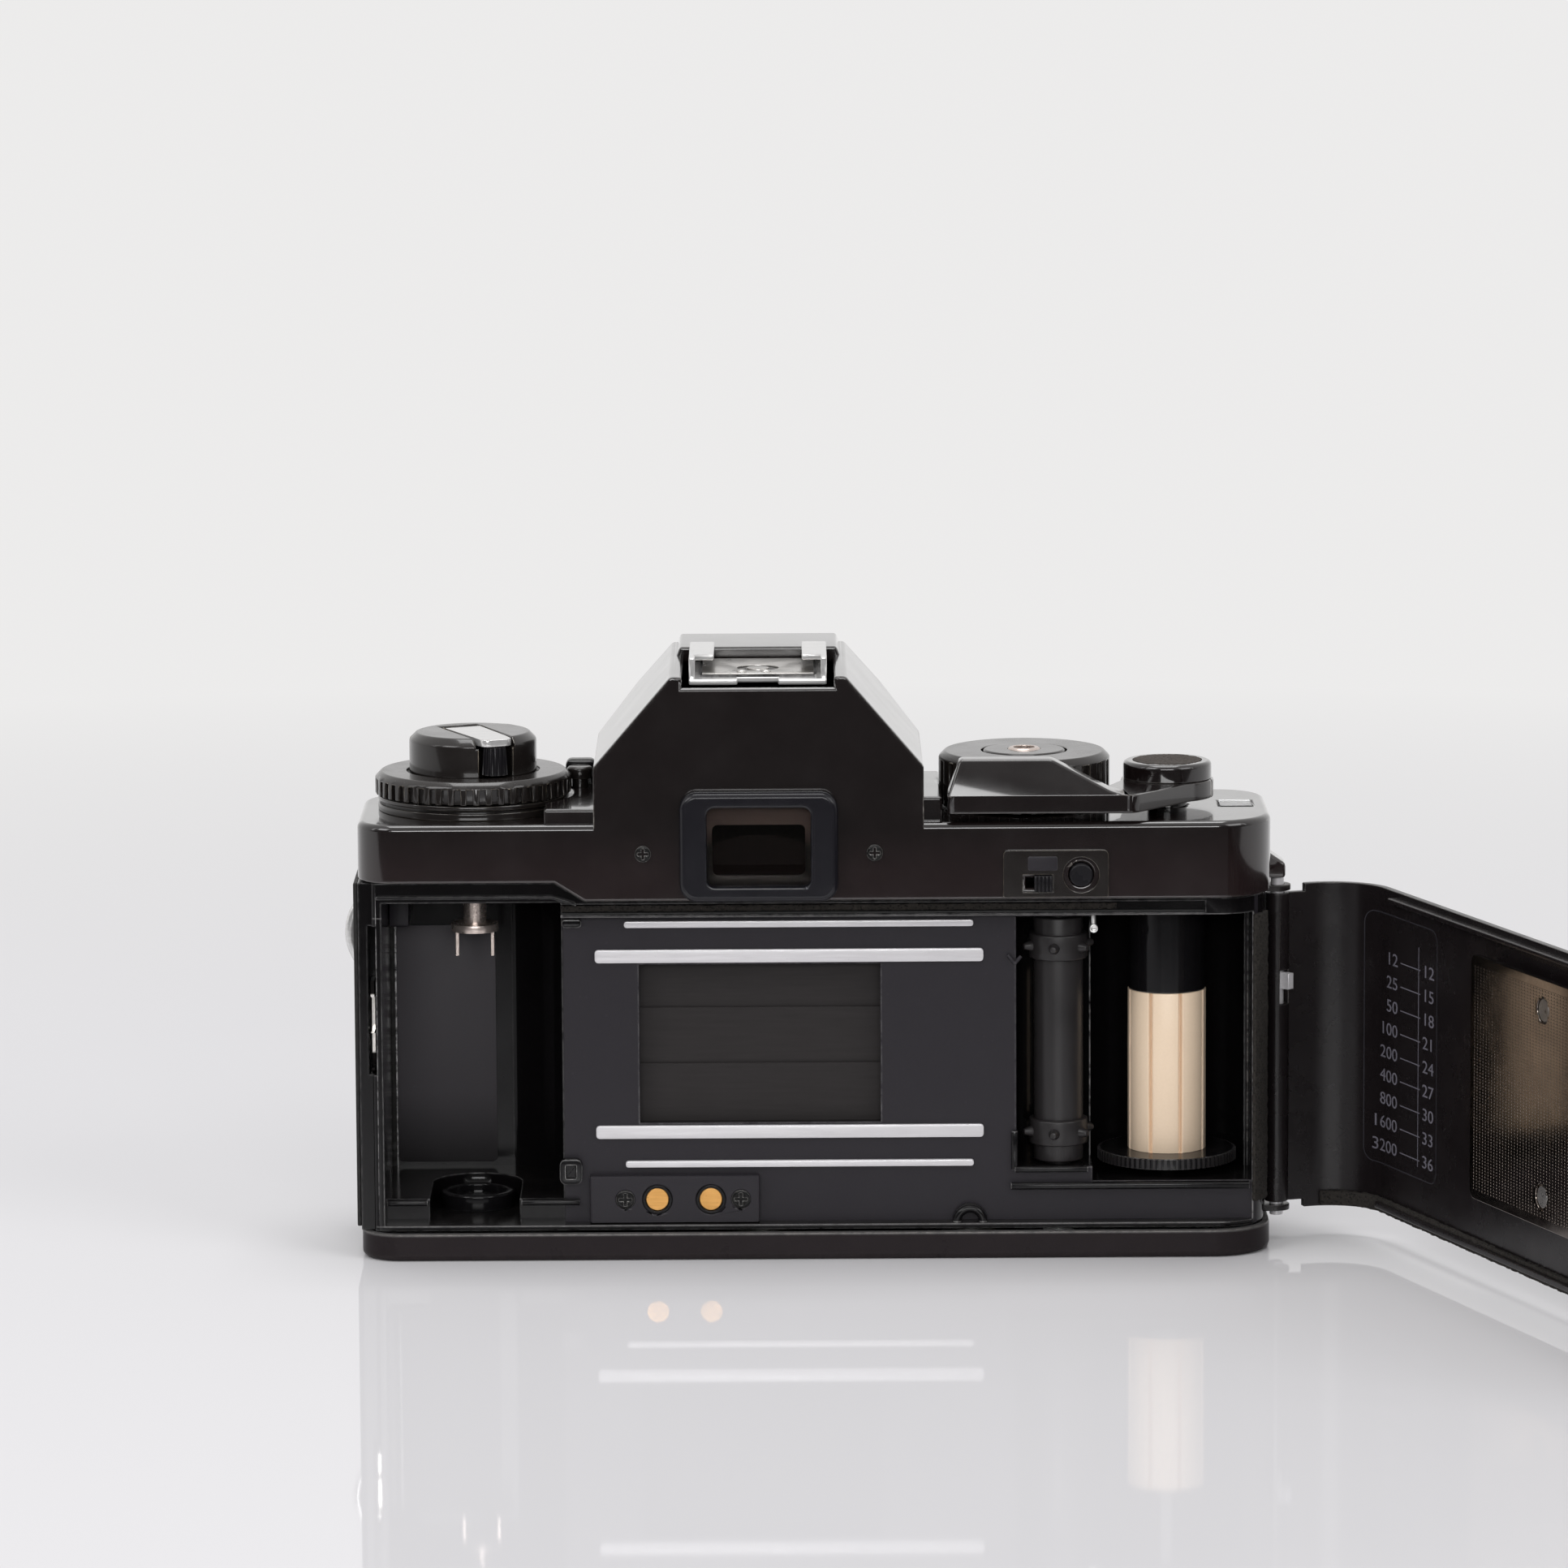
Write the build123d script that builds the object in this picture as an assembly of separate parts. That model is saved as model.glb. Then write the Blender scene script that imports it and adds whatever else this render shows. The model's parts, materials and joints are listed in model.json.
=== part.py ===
from build123d import *
import os
from math import acos, atan2, cos, degrees, hypot, radians, sin, sqrt

# A single lens reflex film camera with its back open, as separate pieces, in millimetres.
# The origin is at the mouth of the tripod socket. +X points to the photographer's right,
# +Y along the lens axis to the subject and +Z up.

# Body and covers
body_left = 59.8
body_right = 76.4
body_depth = 32.0
base_height = 4.2
lens_height = 32.0
cover_rise = 22.4
left_edge_rise = 2.8
edge_step_start = 25.9
edge_step_run = 4.5
deck_rise = 11.6
cover_wall = 1.2
rear_left_corner = 6.0
rear_right_corner = 9.0
front_corner = 7.0
deck_round = 1.0
skin = 0.7

# Clearances
seat_gap = 0.3
running_fit = 0.05
swing_gap = 0.5
rim_gap = 1.05

# Film path
film_setback = 4.5
gate_width = 36.0
gate_height = 24.0
film_width = 35.0
rail_proud = 0.5
outer_rail_proud = 0.2
inner_rail_width = 2.0
outer_rail_width = 1.0
inner_rail_left = 24.6
inner_rail_right = 33.4
outer_rail_left = 20.2
outer_rail_right = 31.9
contact_plate_left = 25.6
contact_plate_right = 0.2
gate_wall = 2.0
gate_reach_right = 38.3
flange_register = 45.46
cassette_radius = 13.3
cassette_wall = 0.7
hub_depth = 3.6
rewind_inset = 16.9
rewind_y = 2.0
wind_inset = 15.1
wind_y = 0.0
spool_radius = 5.9
spool_flange_radius = 10.15
spool_flange_height = 1.7
take_up_room = 1.45
jamb_wall = 2.0
sprocket_offset = 16.6
sprocket_radius = 4.4
sprocket_shaft_radius = 3.7
tooth_reach = 1.2
tooth_count = 6
perforation_spread = 14.1

# Prism housing and eyepiece
hump_half_base = 24.5
hump_half_top = 13.0
hump_shoulder_rise = 8.6
hump_rise = 22.0
hump_cap_rise = 1.3
hump_front = 30.5
hump_cap_front = 23.0
hump_facet_start = 17.0
hump_nose_half = 14.0
eyepiece_width = 23.5
eyepiece_height = 16.4
eyepiece_proud = 2.5
window_width = 15.4
window_height = 11.8

# Accessory shoe
shoe_slot_width = 18.7
shoe_slot_height = 2.1
shoe_sheet = 0.9
shoe_lip = 2.8
shoe_length = 19.5
shoe_front = 7.0

# Lens mount and mirror
apron_half_width = 33.0
mount_radius = 30.5
mount_thickness = 3.0
throat_radius = 24.2
bayonet_lug = 2.0
mirror_box_half = 21.0
mirror_length = 31.0
screen_depth = 28.0
prism_depth = 25.5
prism_roof_front = 17.0
prism_roof_crest = 9.0
prism_rear = 4.0
mirror_thickness = 1.6
pivot_radius = 1.0

# Controls on the deck
dial_inset = 21.4
dial_y = 2.5
dial_radius = 12.85
dial_height = 8.2
release_radius = 6.2
release_ring_radius = 2.45
release_thread_radius = 1.6
speed_dial_radius = 14.7
dial_base_height = 2.2
knob_radius = 9.55
knob_height = 6.2
shaft_radius = 1.75
fork_radius = 3.6
collar_radius = 2.6
crank_reach = 8.6
crank_hinge = 4.0
crank_width = 5.6
crank_direction = -66.0
hub_radius = 7.0
lever_thickness = 2.8
lever_cap_radius = 6.65
lever_cap_height = 2.7
grip_length = 28.0
grip_height = 5.1
grip_depth = 5.2
grip_overhang = 1.0
wind_shaft_radius = 3.0

# Back door
door_wall = 1.2
door_open_angle = 111.0
hinge_out = 1.4
hinge_setback = 14.5
hinge_pin_radius = 1.0
knuckle_wall = 0.75
door_bend = 9.0
door_left_bend = 2.5
plate_length = 60.0
plate_inset = 5.3
plate_height = 36.2
plate_thickness = 1.0
plate_travel = 0.8
pin_travel = 2.0
rivet_radius = 1.0
rivet_inset = 23.7

# Sockets and lids in the base
tripod_radius = 3.175
tripod_depth = 6.0
tripod_bush_radius = 5.0
cell_radius = 5.8
cell_height = 5.4
battery_cap_radius = 7.0
rewind_release_radius = 2.4

# Strap rings
ring_mean_radius = 7.5
ring_wire_radius = 0.8
lug_inset = 4.7

# Planes and axes worked out from the sizes above
rear_y = -body_depth / 2
front_y = body_depth / 2
cover_edge = lens_height + cover_rise
deck = cover_edge + deck_rise
film_plane = rear_y + film_setback
gate_face = film_plane + rail_proud
gate_back = gate_face + gate_wall
flange_y = film_plane + flange_register
apron_front = flange_y - mount_thickness
casting_rear = rear_y + door_wall + rim_gap
casting_front = front_y - skin - seat_gap
casting_right = body_right - 0.85
rewind_x = -body_left + rewind_inset
wind_x = body_right - wind_inset
dial_x = wind_x - dial_inset
sprocket_x = wind_x - sprocket_offset
sprocket_y = film_plane + sprocket_radius + 0.2
recess_low = base_height + 0.8
recess_high = cover_edge - 2.8
take_up_low = base_height + 6.6
take_up_radius = spool_flange_radius + take_up_room
chamber_low = base_height + 4.4
chamber_high = cover_edge - 0.5
cavity_low = base_height + 5.6
cavity_half = mirror_box_half + 4.0
hump_top = deck + hump_rise
hump_cap = hump_top + hump_cap_rise
shoe_floor = hump_top - 1.7
hinge_x = body_right + hinge_out
hinge_y = rear_y + hinge_setback
far = 200.0
over = 1.0


# A box between two corners
def block(x0, x1, y0, y1, z0, z1):
    middle = Pos((x0 + x1) / 2, (y0 + y1) / 2, (z0 + z1) / 2)
    return middle * Box(x1 - x0, y1 - y0, z1 - z0)


# Round bars along each axis
def post(x, y, radius, z0, z1):
    return Pos(x, y, (z0 + z1) / 2) * Cylinder(radius, z1 - z0)


def bar_y(x, z, radius, y0, y1):
    return Pos(x, (y0 + y1) / 2, z) * Rot(90, 0, 0) * Cylinder(radius, y1 - y0)


def bar_x(y, z, radius, x0, x1):
    return Pos((x0 + x1) / 2, y, z) * Rot(0, 90, 0) * Cylinder(radius, x1 - x0)


def tube(x, y, outer, inner, z0, z1):
    return post(x, y, outer, z0, z1) - post(x, y, inner, z0 - over, z1 + over)


# A flat shape with rounded corners
def rounded(points, radii):
    return make_face(FilletPolyline(*points, radius=radii, close=True))


# A plan shape raised between two heights
def raised(plan, z0, z1):
    return Pos(0, 0, z0) * extrude(plan, z1 - z0)


# A front view shape, drawn in x and z, drawn out along the lens axis
def along_lens(points, radii, y0, y1):
    face = Plane.XZ * rounded(points, radii)
    return Pos(0, y1, 0) * extrude(face, y1 - y0)


# A side view shape, drawn in y and z, drawn out to the right
def along_width(points, radii, x0, x1):
    face = Plane.YZ * rounded(points, radii)
    return Pos(x0, 0, 0) * extrude(face, x1 - x0)


# Turn something about an upright axis
def turned(shape, x, y, angle):
    return Pos(x, y, 0) * Rot(0, 0, angle) * Pos(-x, -y, 0) * shape


# The plan of the two covers, drawn in from their outer face by an inset
def cover_plan(inset):
    left, right = -body_left + inset, body_right - inset
    rear, front = rear_y + inset, front_y - inset
    corners = [rear_left_corner, rear_right_corner, front_corner, front_corner]
    radii = [max(radius - inset, 0.5) for radius in corners]
    return rounded([(left, rear), (right, rear), (right, front), (left, front)], radii)


# All that lies above the stepped lower edge of the top cover
def above_edge(gap):
    high = cover_edge + left_edge_rise + gap
    low = cover_edge + gap
    outer = -edge_step_start - edge_step_run
    points = [(-far, high), (outer, high), (-edge_step_start, low), (far, low), (far, far), (-far, far)]
    return along_lens(points, [0] * 6, -far, far)


# Outline of the prism housing seen from behind
def hump_profile(inset):
    foot, shoulder = deck - 2 * over, deck + hump_shoulder_rise - inset / 2
    top = hump_top - inset
    half, half_top = hump_half_base - inset, hump_half_top - inset / 2
    right = [(half, foot), (half, shoulder), (half_top, top)]
    left = [(-half_top, top), (-half, shoulder)]
    return [(-half, foot)] + right + left, [0, 0, 1.0, 1.0, 1.0, 1.0]


# Plan of the prism housing, its front corners cut back to facets
def hump_plan(inset):
    side, nose = hump_half_base + 1.5 - inset, hump_nose_half - inset / 2
    rear, front, start = rear_y + inset, hump_front - inset, hump_facet_start - inset / 2
    points = [(-side, rear), (side, rear), (side, start), (nose, front), (-nose, front), (-side, start)]
    return rounded(points, [0, 0, 2.0, 2.0, 2.0, 2.0])


# Wedge that slopes the front of the prism housing back
def hump_front_cut(inset):
    front, top = hump_front - inset, hump_cap_front - inset
    points = [(front, deck - over), (far, deck - over), (far, far), (top, far), (top, hump_cap)]
    return along_width(points, [0] * 5, -far, far)


# Chambers, bearings and the gate of the chassis
def chassis_plan():
    left, jamb = -body_left, -body_left + door_wall + seat_gap + swing_gap
    step = rear_y + door_left_bend + swing_gap + seat_gap
    points = [
        (left, step),
        (jamb, step),
        (jamb, casting_rear),
        (casting_right, casting_rear),
        (casting_right, casting_front),
        (left, casting_front),
    ]
    corner = rear_right_corner - door_wall - rim_gap + 0.35
    return rounded(points, [0, 0, 0.8, corner, front_corner, front_corner])


def cassette_room():
    left, back = rewind_x - cassette_radius, casting_front - cassette_wall
    room = post(rewind_x, rewind_y, cassette_radius, chamber_low, chamber_high)
    room += block(left, rewind_x + cassette_radius, casting_rear - over, rewind_y, chamber_low, chamber_high)
    room += block(left, rewind_x + 2.6, rewind_y - over, back, chamber_low, chamber_high)
    room &= block(-far, far, -far, back, 0, far)
    hub_radius_room = 6.7
    hub_low = chamber_low - hub_depth
    room += post(rewind_x, rewind_y, hub_radius_room, hub_low, chamber_low + over)
    hub_left, hub_right = rewind_x - hub_radius_room, rewind_x + hub_radius_room
    room += block(hub_left, hub_right, casting_rear - over, rewind_y, hub_low, chamber_low + over)
    fork_high = cover_edge + 2 * left_edge_rise
    fork_room = post(rewind_x, rewind_y, fork_radius + 0.5, chamber_high - over, fork_high)
    return room + fork_room


def take_up_space():
    left, right = wind_x - take_up_radius, casting_right - jamb_wall
    room = post(wind_x, wind_y, take_up_radius, take_up_low, recess_high)
    room += block(left, right, casting_rear - over, wind_y, take_up_low, recess_high)
    pocket = sprocket_radius + tooth_reach + 1.0
    low, high = take_up_low + 2.2, recess_high - 0.6
    room += post(sprocket_x, sprocket_y, pocket, low, high)
    room += block(gate_reach_right, left + over, casting_rear - over, sprocket_y, low, high)
    return room


def shaft_bearings():
    spool_pivot, sprocket_pivot = 2.5 + running_fit, 2.0 + running_fit
    holes = post(wind_x, wind_y, spool_pivot, base_height + 1.5, cover_edge + over)
    holes += post(sprocket_x, sprocket_y, sprocket_pivot, base_height + 3.0, cover_edge + over)
    return holes


def body_casting():
    casting = raised(chassis_plan(), base_height, deck) - above_edge(-0.2)
    left, right = rewind_x - cassette_radius, casting_right - jamb_wall
    casting -= block(left, right, casting_rear - over, gate_face, recess_low, recess_high)
    casting -= cassette_room() + take_up_space()
    casting -= block(-cavity_half, cavity_half, gate_back, front_y + over, cavity_low, deck)
    half_gate = gate_width / 2
    low, high = lens_height - gate_height / 2, lens_height + gate_height / 2
    casting -= block(-half_gate, half_gate, gate_face - over, gate_back + over, low, high)
    casting -= shaft_bearings()
    groove_low, groove_high = recess_high + 0.5, cover_edge - 0.8
    casting -= block(left, wind_x + 5, casting_rear - over, casting_rear + 1.2, groove_low, groove_high)
    casting -= post(*battery_place(), cell_radius + seat_gap, base_height - over, battery_top())
    casting -= post(0, 0, tripod_bush_radius, base_height - over, tripod_bush_top())
    button_room = rewind_release_radius + seat_gap
    casting -= post(sprocket_x, sprocket_y, button_room, base_height - over, base_height + 1.8)
    casting -= latch_slot() + pin_lever_room()
    return casting + rim_boss()


# Half-round boss that stands on the lower rim
def rim_boss():
    x = gate_reach_right - 7.0
    boss = bar_y(x, recess_low, 2.6, gate_face - 1.4, gate_face + 0.1)
    boss -= bar_y(x, recess_low, 1.3, gate_face - 2.0, gate_face)
    return boss & block(-far, far, -far, far, recess_low - 0.1, far)


# Latch of the back, in the left jamb
def latch_place():
    x0 = -body_left + door_wall + swing_gap
    y0 = rear_y + door_left_bend + swing_gap + seat_gap
    return x0, x0 + 0.7, y0 + 0.3, y0 + 5.0


def latch_slot():
    x0, x1, y0, y1 = latch_place()
    low, high = lens_height - 4.0, cover_edge - 4.0
    return block(x0 - 0.2, x1 + 0.2, y0 - 2.0, y1 + 0.2, low, high)


def catch_heights():
    return [lens_height - 0.5, lens_height + 5.0]


def door_latch():
    x0, x1, y0, y1 = latch_place()
    latch = block(x0, x1, y0, y1, lens_height - 3.6, lens_height + 10.0)
    for low in catch_heights():
        latch -= block(x0 - over, x1 + over, y0 - over, y0 + 2.6, low - 2.6, low + 2.6)
    return latch


# Covers
def top_cover():
    shell = raised(cover_plan(0), cover_edge, deck)
    shell = fillet(shell.edges().group_by(Axis.Z)[-1], deck_round)
    points, radii = hump_profile(0)
    shell += along_lens(points, radii, rear_y, hump_front) & raised(hump_plan(0), 0, far)
    cap = [(-hump_half_top, hump_top - 2), (hump_half_top, hump_top - 2)]
    cap += [(hump_half_top - 1.2, hump_cap), (-hump_half_top + 1.2, hump_cap)]
    shell += along_lens(cap, [0, 0, 0.6, 0.6], shoe_front + 0.4, hump_cap_front)
    shell -= hump_front_cut(0)
    shell += deck_shoulders()
    hollow = raised(cover_plan(cover_wall), cover_edge - over, deck - cover_wall)
    points, radii = hump_profile(cover_wall)
    room = along_lens(points, radii, rear_y + cover_wall, hump_front) - hump_front_cut(cover_wall)
    room &= raised(hump_plan(cover_wall), 0, far)
    foot = hump_half_base - 2 * cover_wall
    shell -= hollow + room
    shell -= block(-foot, foot, front_y - 2 * cover_wall, front_y + over, cover_edge, deck - cover_wall)
    shell -= block(-far, far, front_y, far, 0, deck)
    shell = shell & above_edge(0)
    shell -= shoe_recess()
    shell += dial_boss() + hinge_cowl()
    shell -= deck_holes() + rear_holes()
    return shell


def deck_shoulders():
    left = block(-hump_half_base - 7.4, -hump_half_base + over, rear_y + 1.0, 11.0, deck - 0.5, deck + 2.2)
    left -= post(rewind_x, rewind_y, speed_dial_radius + seat_gap, deck, deck + 5)
    right_end = grip_tip_x() - swing_gap
    right = block(hump_half_base - over, right_end, rear_y + 2.0, 12.0, deck - 0.5, deck + 3.6)
    return left + right - post(dial_x, dial_y, dial_radius + seat_gap, deck, deck + 9)


def shoe_recess():
    half = shoe_slot_width / 2 + shoe_sheet + 1.0
    return block(-half, half, rear_y - over, shoe_front + 0.4, shoe_floor, far)


# Sleeve that the shutter dial turns on and the release button slides in
def dial_boss():
    outer, inner = release_radius + 1.2, release_radius + running_fit
    return tube(dial_x, dial_y, outer, inner, deck - cover_wall, deck + dial_height - 1.6)


# Sloping cowl over the top of the door hinge
def hinge_cowl():
    low, high = cover_edge + 1.0, cover_edge + 5.6
    inner, outer = body_right - over, hinge_x + 1.1
    points = [(inner, low), (outer, low), (outer, high - 2.4), (inner, high)]
    return along_lens(points, [0] * 4, hinge_y - 2.4, hinge_y + 2.4)


def deck_holes():
    low, high = deck - cover_wall - over, deck + 30
    holes = post(dial_x, dial_y, release_radius + running_fit, low, high)
    holes += post(wind_x, wind_y, wind_shaft_radius + running_fit, low, high)
    holes += post(rewind_x, rewind_y, hub_outer(), low, high)
    holes += post(*lock_place(), lock_radius() - 0.6, low, high)
    x0, x1, y0, y1 = counter_opening()
    return holes + block(x0, x1, y0, y1, low, deck + over)


def rear_holes():
    wall = (rear_y - over, rear_y + cover_wall + over)
    half, middle = window_width / 2 + 1.2, eyepiece_middle()
    half_height = window_height / 2 + 1.0
    holes = block(-half, half, *wall, middle - half_height, middle + half_height)
    x0, x1, z0, z1 = slider_slot()
    holes += block(x0 + 0.4, x1 - 0.4, *wall, z0 + 0.5, z1 - 0.5)
    return holes + bar_y(*rear_button_place(), rear_button_radius() + running_fit, *wall)


def bottom_cover():
    tray = raised(cover_plan(0), 0, base_height)
    tray = fillet(tray.edges().group_by(Axis.Z)[0], deck_round)
    tray -= raised(cover_plan(cover_wall), cover_wall, base_height + over)
    tray -= post(0, 0, tripod_bush_radius, -over, base_height)
    tray -= post(*battery_place(), battery_cap_radius + running_fit, -over, base_height)
    tray -= post(sprocket_x, sprocket_y, rewind_release_radius + running_fit, -over, base_height)
    return tray


# Leather cloth round the front and the ends of the chassis
def body_leatherette():
    def wrap(grow):
        left, right = -body_left - grow, casting_right + grow
        front = casting_front + grow
        rear = rear_y + door_left_bend + 2.0
        corner = front_corner + grow
        return rounded([(left, rear), (right, rear), (right, front), (left, front)], [0, 0, corner, corner])

    band = raised(wrap(skin), base_height + 0.4, deck) - raised(wrap(0), 0, far)
    band -= above_edge(-0.5)
    half = apron_half_width + seat_gap
    band -= block(-half, half, 0, far, 0, far)
    band -= block(casting_right - 3, far, -far, hinge_y + 3.0, 0, far)
    return band


# Film gate
def film_rails():
    rails = []
    inner_z = gate_height / 2 + 0.35 + inner_rail_width / 2
    outer_z = film_width / 2 + 0.2 + outer_rail_width / 2
    for side in (-1, 1):
        z = lens_height + side * inner_z
        half = inner_rail_width / 2
        rails.append(block(-inner_rail_left, inner_rail_right, film_plane, gate_face, z - half, z + half))
        z = lens_height + side * outer_z
        half = outer_rail_width / 2
        face = film_plane - outer_rail_proud
        rails.append(block(-outer_rail_left, outer_rail_right, face, gate_face, z - half, z + half))
    return Part() + rails


def contact_plate_top():
    return lens_height - film_width / 2 - 0.2 - outer_rail_width - 1.1


def contact_face():
    return gate_face - 1.6


def contact_middle():
    return (recess_low + contact_plate_top()) / 2


def contact_plate():
    left, right = -contact_plate_left, -contact_plate_right
    plate = block(left, right, contact_face(), gate_face, recess_low + 0.1, contact_plate_top())
    for x in contact_places():
        plate -= bar_y(x, contact_middle(), 2.2, contact_face() - over, contact_face() + 0.8)
    for x in contact_screw_places():
        plate -= bar_y(x, contact_middle(), 1.4, contact_face() - over, contact_face() + 0.6)
    return plate


def contact_places():
    return [-contact_plate_left + 10.1, -contact_plate_right - 7.3]


def contact_screw_places():
    return [-contact_plate_left + 5.3, -contact_plate_right - 2.8]


def contact_pins():
    face = contact_face() + 0.8
    return Part() + [bar_y(x, contact_middle(), 1.7, face - 0.6, face) for x in contact_places()]


# Screws with a cross slot, their heads looking to the rear or, on the mount, to the front
def cross_screw(x, z, y, radius, height, facing):
    head = bar_y(x, z, radius, min(y, y - facing * height), max(y, y - facing * height))
    slot, deep = radius * 0.62, height * 0.55
    low, high = min(y, y - facing * deep), max(y, y - facing * deep)
    head -= block(x - slot, x + slot, low - 0.01, high + 0.01, z - 0.15, z + 0.15)
    head -= block(x - 0.15, x + 0.15, low - 0.01, high + 0.01, z - slot, z + slot)
    return head


def mount_screw_places():
    radius = (mount_radius + throat_radius) / 2
    angles = [90 + 72 * step for step in range(5)]
    return [(radius * cos(radians(a)), lens_height + radius * sin(radians(a))) for a in angles]


def screws():
    solids = [cross_screw(x, z, flange_y, 1.6, 0.8, 1) for x, z in mount_screw_places()]
    for x in contact_screw_places():
        solids.append(cross_screw(x, contact_middle(), contact_face() + 0.1, 1.4, 0.5, -1))
    for x in (-17.2, 17.2):
        solids.append(cross_screw(x, eyepiece_middle() - 1.2, rear_y - 0.35, 1.2, 0.35, -1))
    return Part() + solids


# Shutter behind the gate
def blade_step():
    return (gate_height + 1.2) / 3


def blade_height():
    return blade_step() + 0.8


def shutter_frame():
    plate_front = gate_back + 0.4
    top = lens_height + gate_height / 2 + 8.0
    frame = block(-cavity_half, cavity_half, gate_back, plate_front, cavity_low, top)
    half, tall = gate_width / 2 + 0.5, gate_height / 2 + 0.5
    frame -= block(-half, half, gate_back - over, plate_front + over, lens_height - tall, lens_height + tall)
    guide = gate_width / 2 + 1.75
    for side in (-1, 1):
        x0, x1 = sorted((side * guide, side * cavity_half))
        frame += block(x0, x1, plate_front, plate_front + 2.2, cavity_low, top)
    return frame


def shutter_blade(index):
    y0 = gate_back + 0.55 + 0.5 * index
    z0 = lens_height - gate_height / 2 - 0.6 + blade_step() * index
    half = gate_width / 2 + 1.5
    return block(-half, half, y0, y0 + 0.3, z0, z0 + blade_height())


# Mirror box, mirror and finder
def mirror_pivot():
    return gate_back + 6.0, lens_height + 16.4


def mirror_box_top():
    return mirror_pivot()[1] + 1.5


def mirror_box():
    rear, front = gate_back + 2.9, apron_front - 2.2
    half = mirror_box_half
    box = block(-half, half, rear, front, cavity_low, mirror_box_top())
    box -= block(-half + 1.2, half - 1.2, rear - over, front + over, cavity_low + 1.2, far)
    y, z = mirror_pivot()
    return box - bar_x(y, z, pivot_radius + running_fit, -far, far)


def reflex_mirror():
    y, z = mirror_pivot()
    half = mirror_box_half - 2.5
    plate = block(-half, half, 0, mirror_length, -mirror_thickness, 0)
    mirror = Pos(0, y, z) * Rot(-45, 0, 0) * plate
    return mirror + bar_x(y, z, pivot_radius, -mirror_box_half, mirror_box_half)


def focusing_screen():
    low = mirror_box_top()
    y = mirror_pivot()[0]
    return block(-mirror_box_half, mirror_box_half, y - 1.0, y + screen_depth, low, low + 1.5)


def pentaprism():
    low = mirror_box_top() + 1.5
    y = mirror_pivot()[0]
    front, rear = y + prism_depth, y - prism_rear
    crest = hump_top - 4.6
    side = [(y, low), (front - 0.5, low), (front, low + 7), (y + prism_roof_front, hump_top - 10)]
    side += [(y + prism_roof_crest, crest), (y + 2, crest), (rear, hump_top - 16), (rear, low + 4)]
    half = mirror_box_half - 1.6
    solid = along_width(side, [0] * len(side), -half, half)
    points, radii = hump_profile(cover_wall + 1.5)
    points[0], points[1] = (points[0][0], low - over), (points[1][0], low - over)
    return solid & along_lens(points, radii, -far, far)


def eyepiece_middle():
    return cover_edge + 0.2 + eyepiece_height / 2


def eyepiece_frame():
    half, tall, middle = eyepiece_width / 2, eyepiece_height / 2, eyepiece_middle()
    points = [(-half, middle - tall), (half, middle - tall), (half, middle + tall), (-half, middle + tall)]
    frame = along_lens(points, [2.6] * 4, rear_y - eyepiece_proud, rear_y)
    frame = fillet(frame.edges().group_by(Axis.Y)[0], 0.9)
    half, tall = window_width / 2, window_height / 2
    points = [(-half, middle - tall), (half, middle - tall), (half, middle + tall), (-half, middle + tall)]
    return frame - along_lens(points, [1.2] * 4, rear_y - eyepiece_proud - over, rear_y + over)


def eyepiece_lens():
    half, tall, middle = window_width / 2 + 1.0, window_height / 2 + 0.8, eyepiece_middle()
    return block(-half, half, rear_y, rear_y + 2.2, middle - tall, middle + tall)


# Accessory shoe
def hot_shoe():
    inner = shoe_slot_width / 2
    outer = inner + shoe_sheet
    rear = shoe_front - shoe_length
    under_lip = shoe_floor + shoe_sheet + shoe_slot_height
    top = under_lip + shoe_sheet
    shoe = block(-outer, outer, rear, shoe_front, shoe_floor, shoe_floor + shoe_sheet)
    for side in (-1, 1):
        x0, x1 = sorted((side * inner, side * outer))
        shoe += block(x0, x1, rear + 1.5, shoe_front, shoe_floor, top)
        x0, x1 = sorted((side * (inner - shoe_lip), side * outer))
        shoe += block(x0, x1, rear + 5.0, shoe_front, under_lip, top)
    tongue = 3.0
    return shoe - block(-tongue, tongue, rear - over, rear + 2.5, shoe_floor - over, top)


def shoe_insulator():
    inner = shoe_slot_width / 2 - 0.6
    low = shoe_floor + shoe_sheet
    plate = block(-inner, inner, shoe_front - shoe_length + 2.6, shoe_front, low, low + 0.3)
    return plate - post(0, shoe_contact_y(), 1.7, low - over, far)


def shoe_contact_y():
    return shoe_front - shoe_length / 2 - 1.0


def shoe_contact():
    low = shoe_floor + shoe_sheet
    return post(0, shoe_contact_y(), 1.7, low, low + 0.55)


# Lens side
def front_apron():
    half, low, high = apron_half_width, 2.2, deck - 0.2
    shoulder = high - 15.0
    outer = [(-half, low), (half, low), (half, shoulder)]
    outer += [(half - 7, high), (-half + 7, high), (-half, shoulder)]
    apron = along_lens(outer, [10, 10, 4, 3, 3, 4], front_y, apron_front)
    apron = fillet(apron.edges().group_by(Axis.Y)[-1], 1.2)
    seat = block(-half, half, casting_front, front_y, base_height + 0.3, cover_edge - 0.4)
    apron += seat
    wall = 2.0
    inner = [(-half + wall, low + wall), (half - wall, low + wall), (half - wall, shoulder)]
    inner += [(half - 7 - wall, high - wall), (-half + 7 + wall, high - wall), (-half + wall, shoulder)]
    apron -= along_lens(inner, [8, 8, 2, 1, 1, 2], casting_front - over, apron_front - 2.0)
    apron -= raised(hump_plan(2 * cover_wall), shoulder, far)
    apron -= bar_y(0, lens_height, throat_radius, apron_front - 5, apron_front + over)
    release_x, release_z, pin_x = lens_release_place()
    apron -= bar_y(release_x, release_z, lens_release_radius() + running_fit, apron_front - 5, far)
    return apron - bar_y(pin_x, lens_height, 1.2, apron_front - 5, far)


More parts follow.
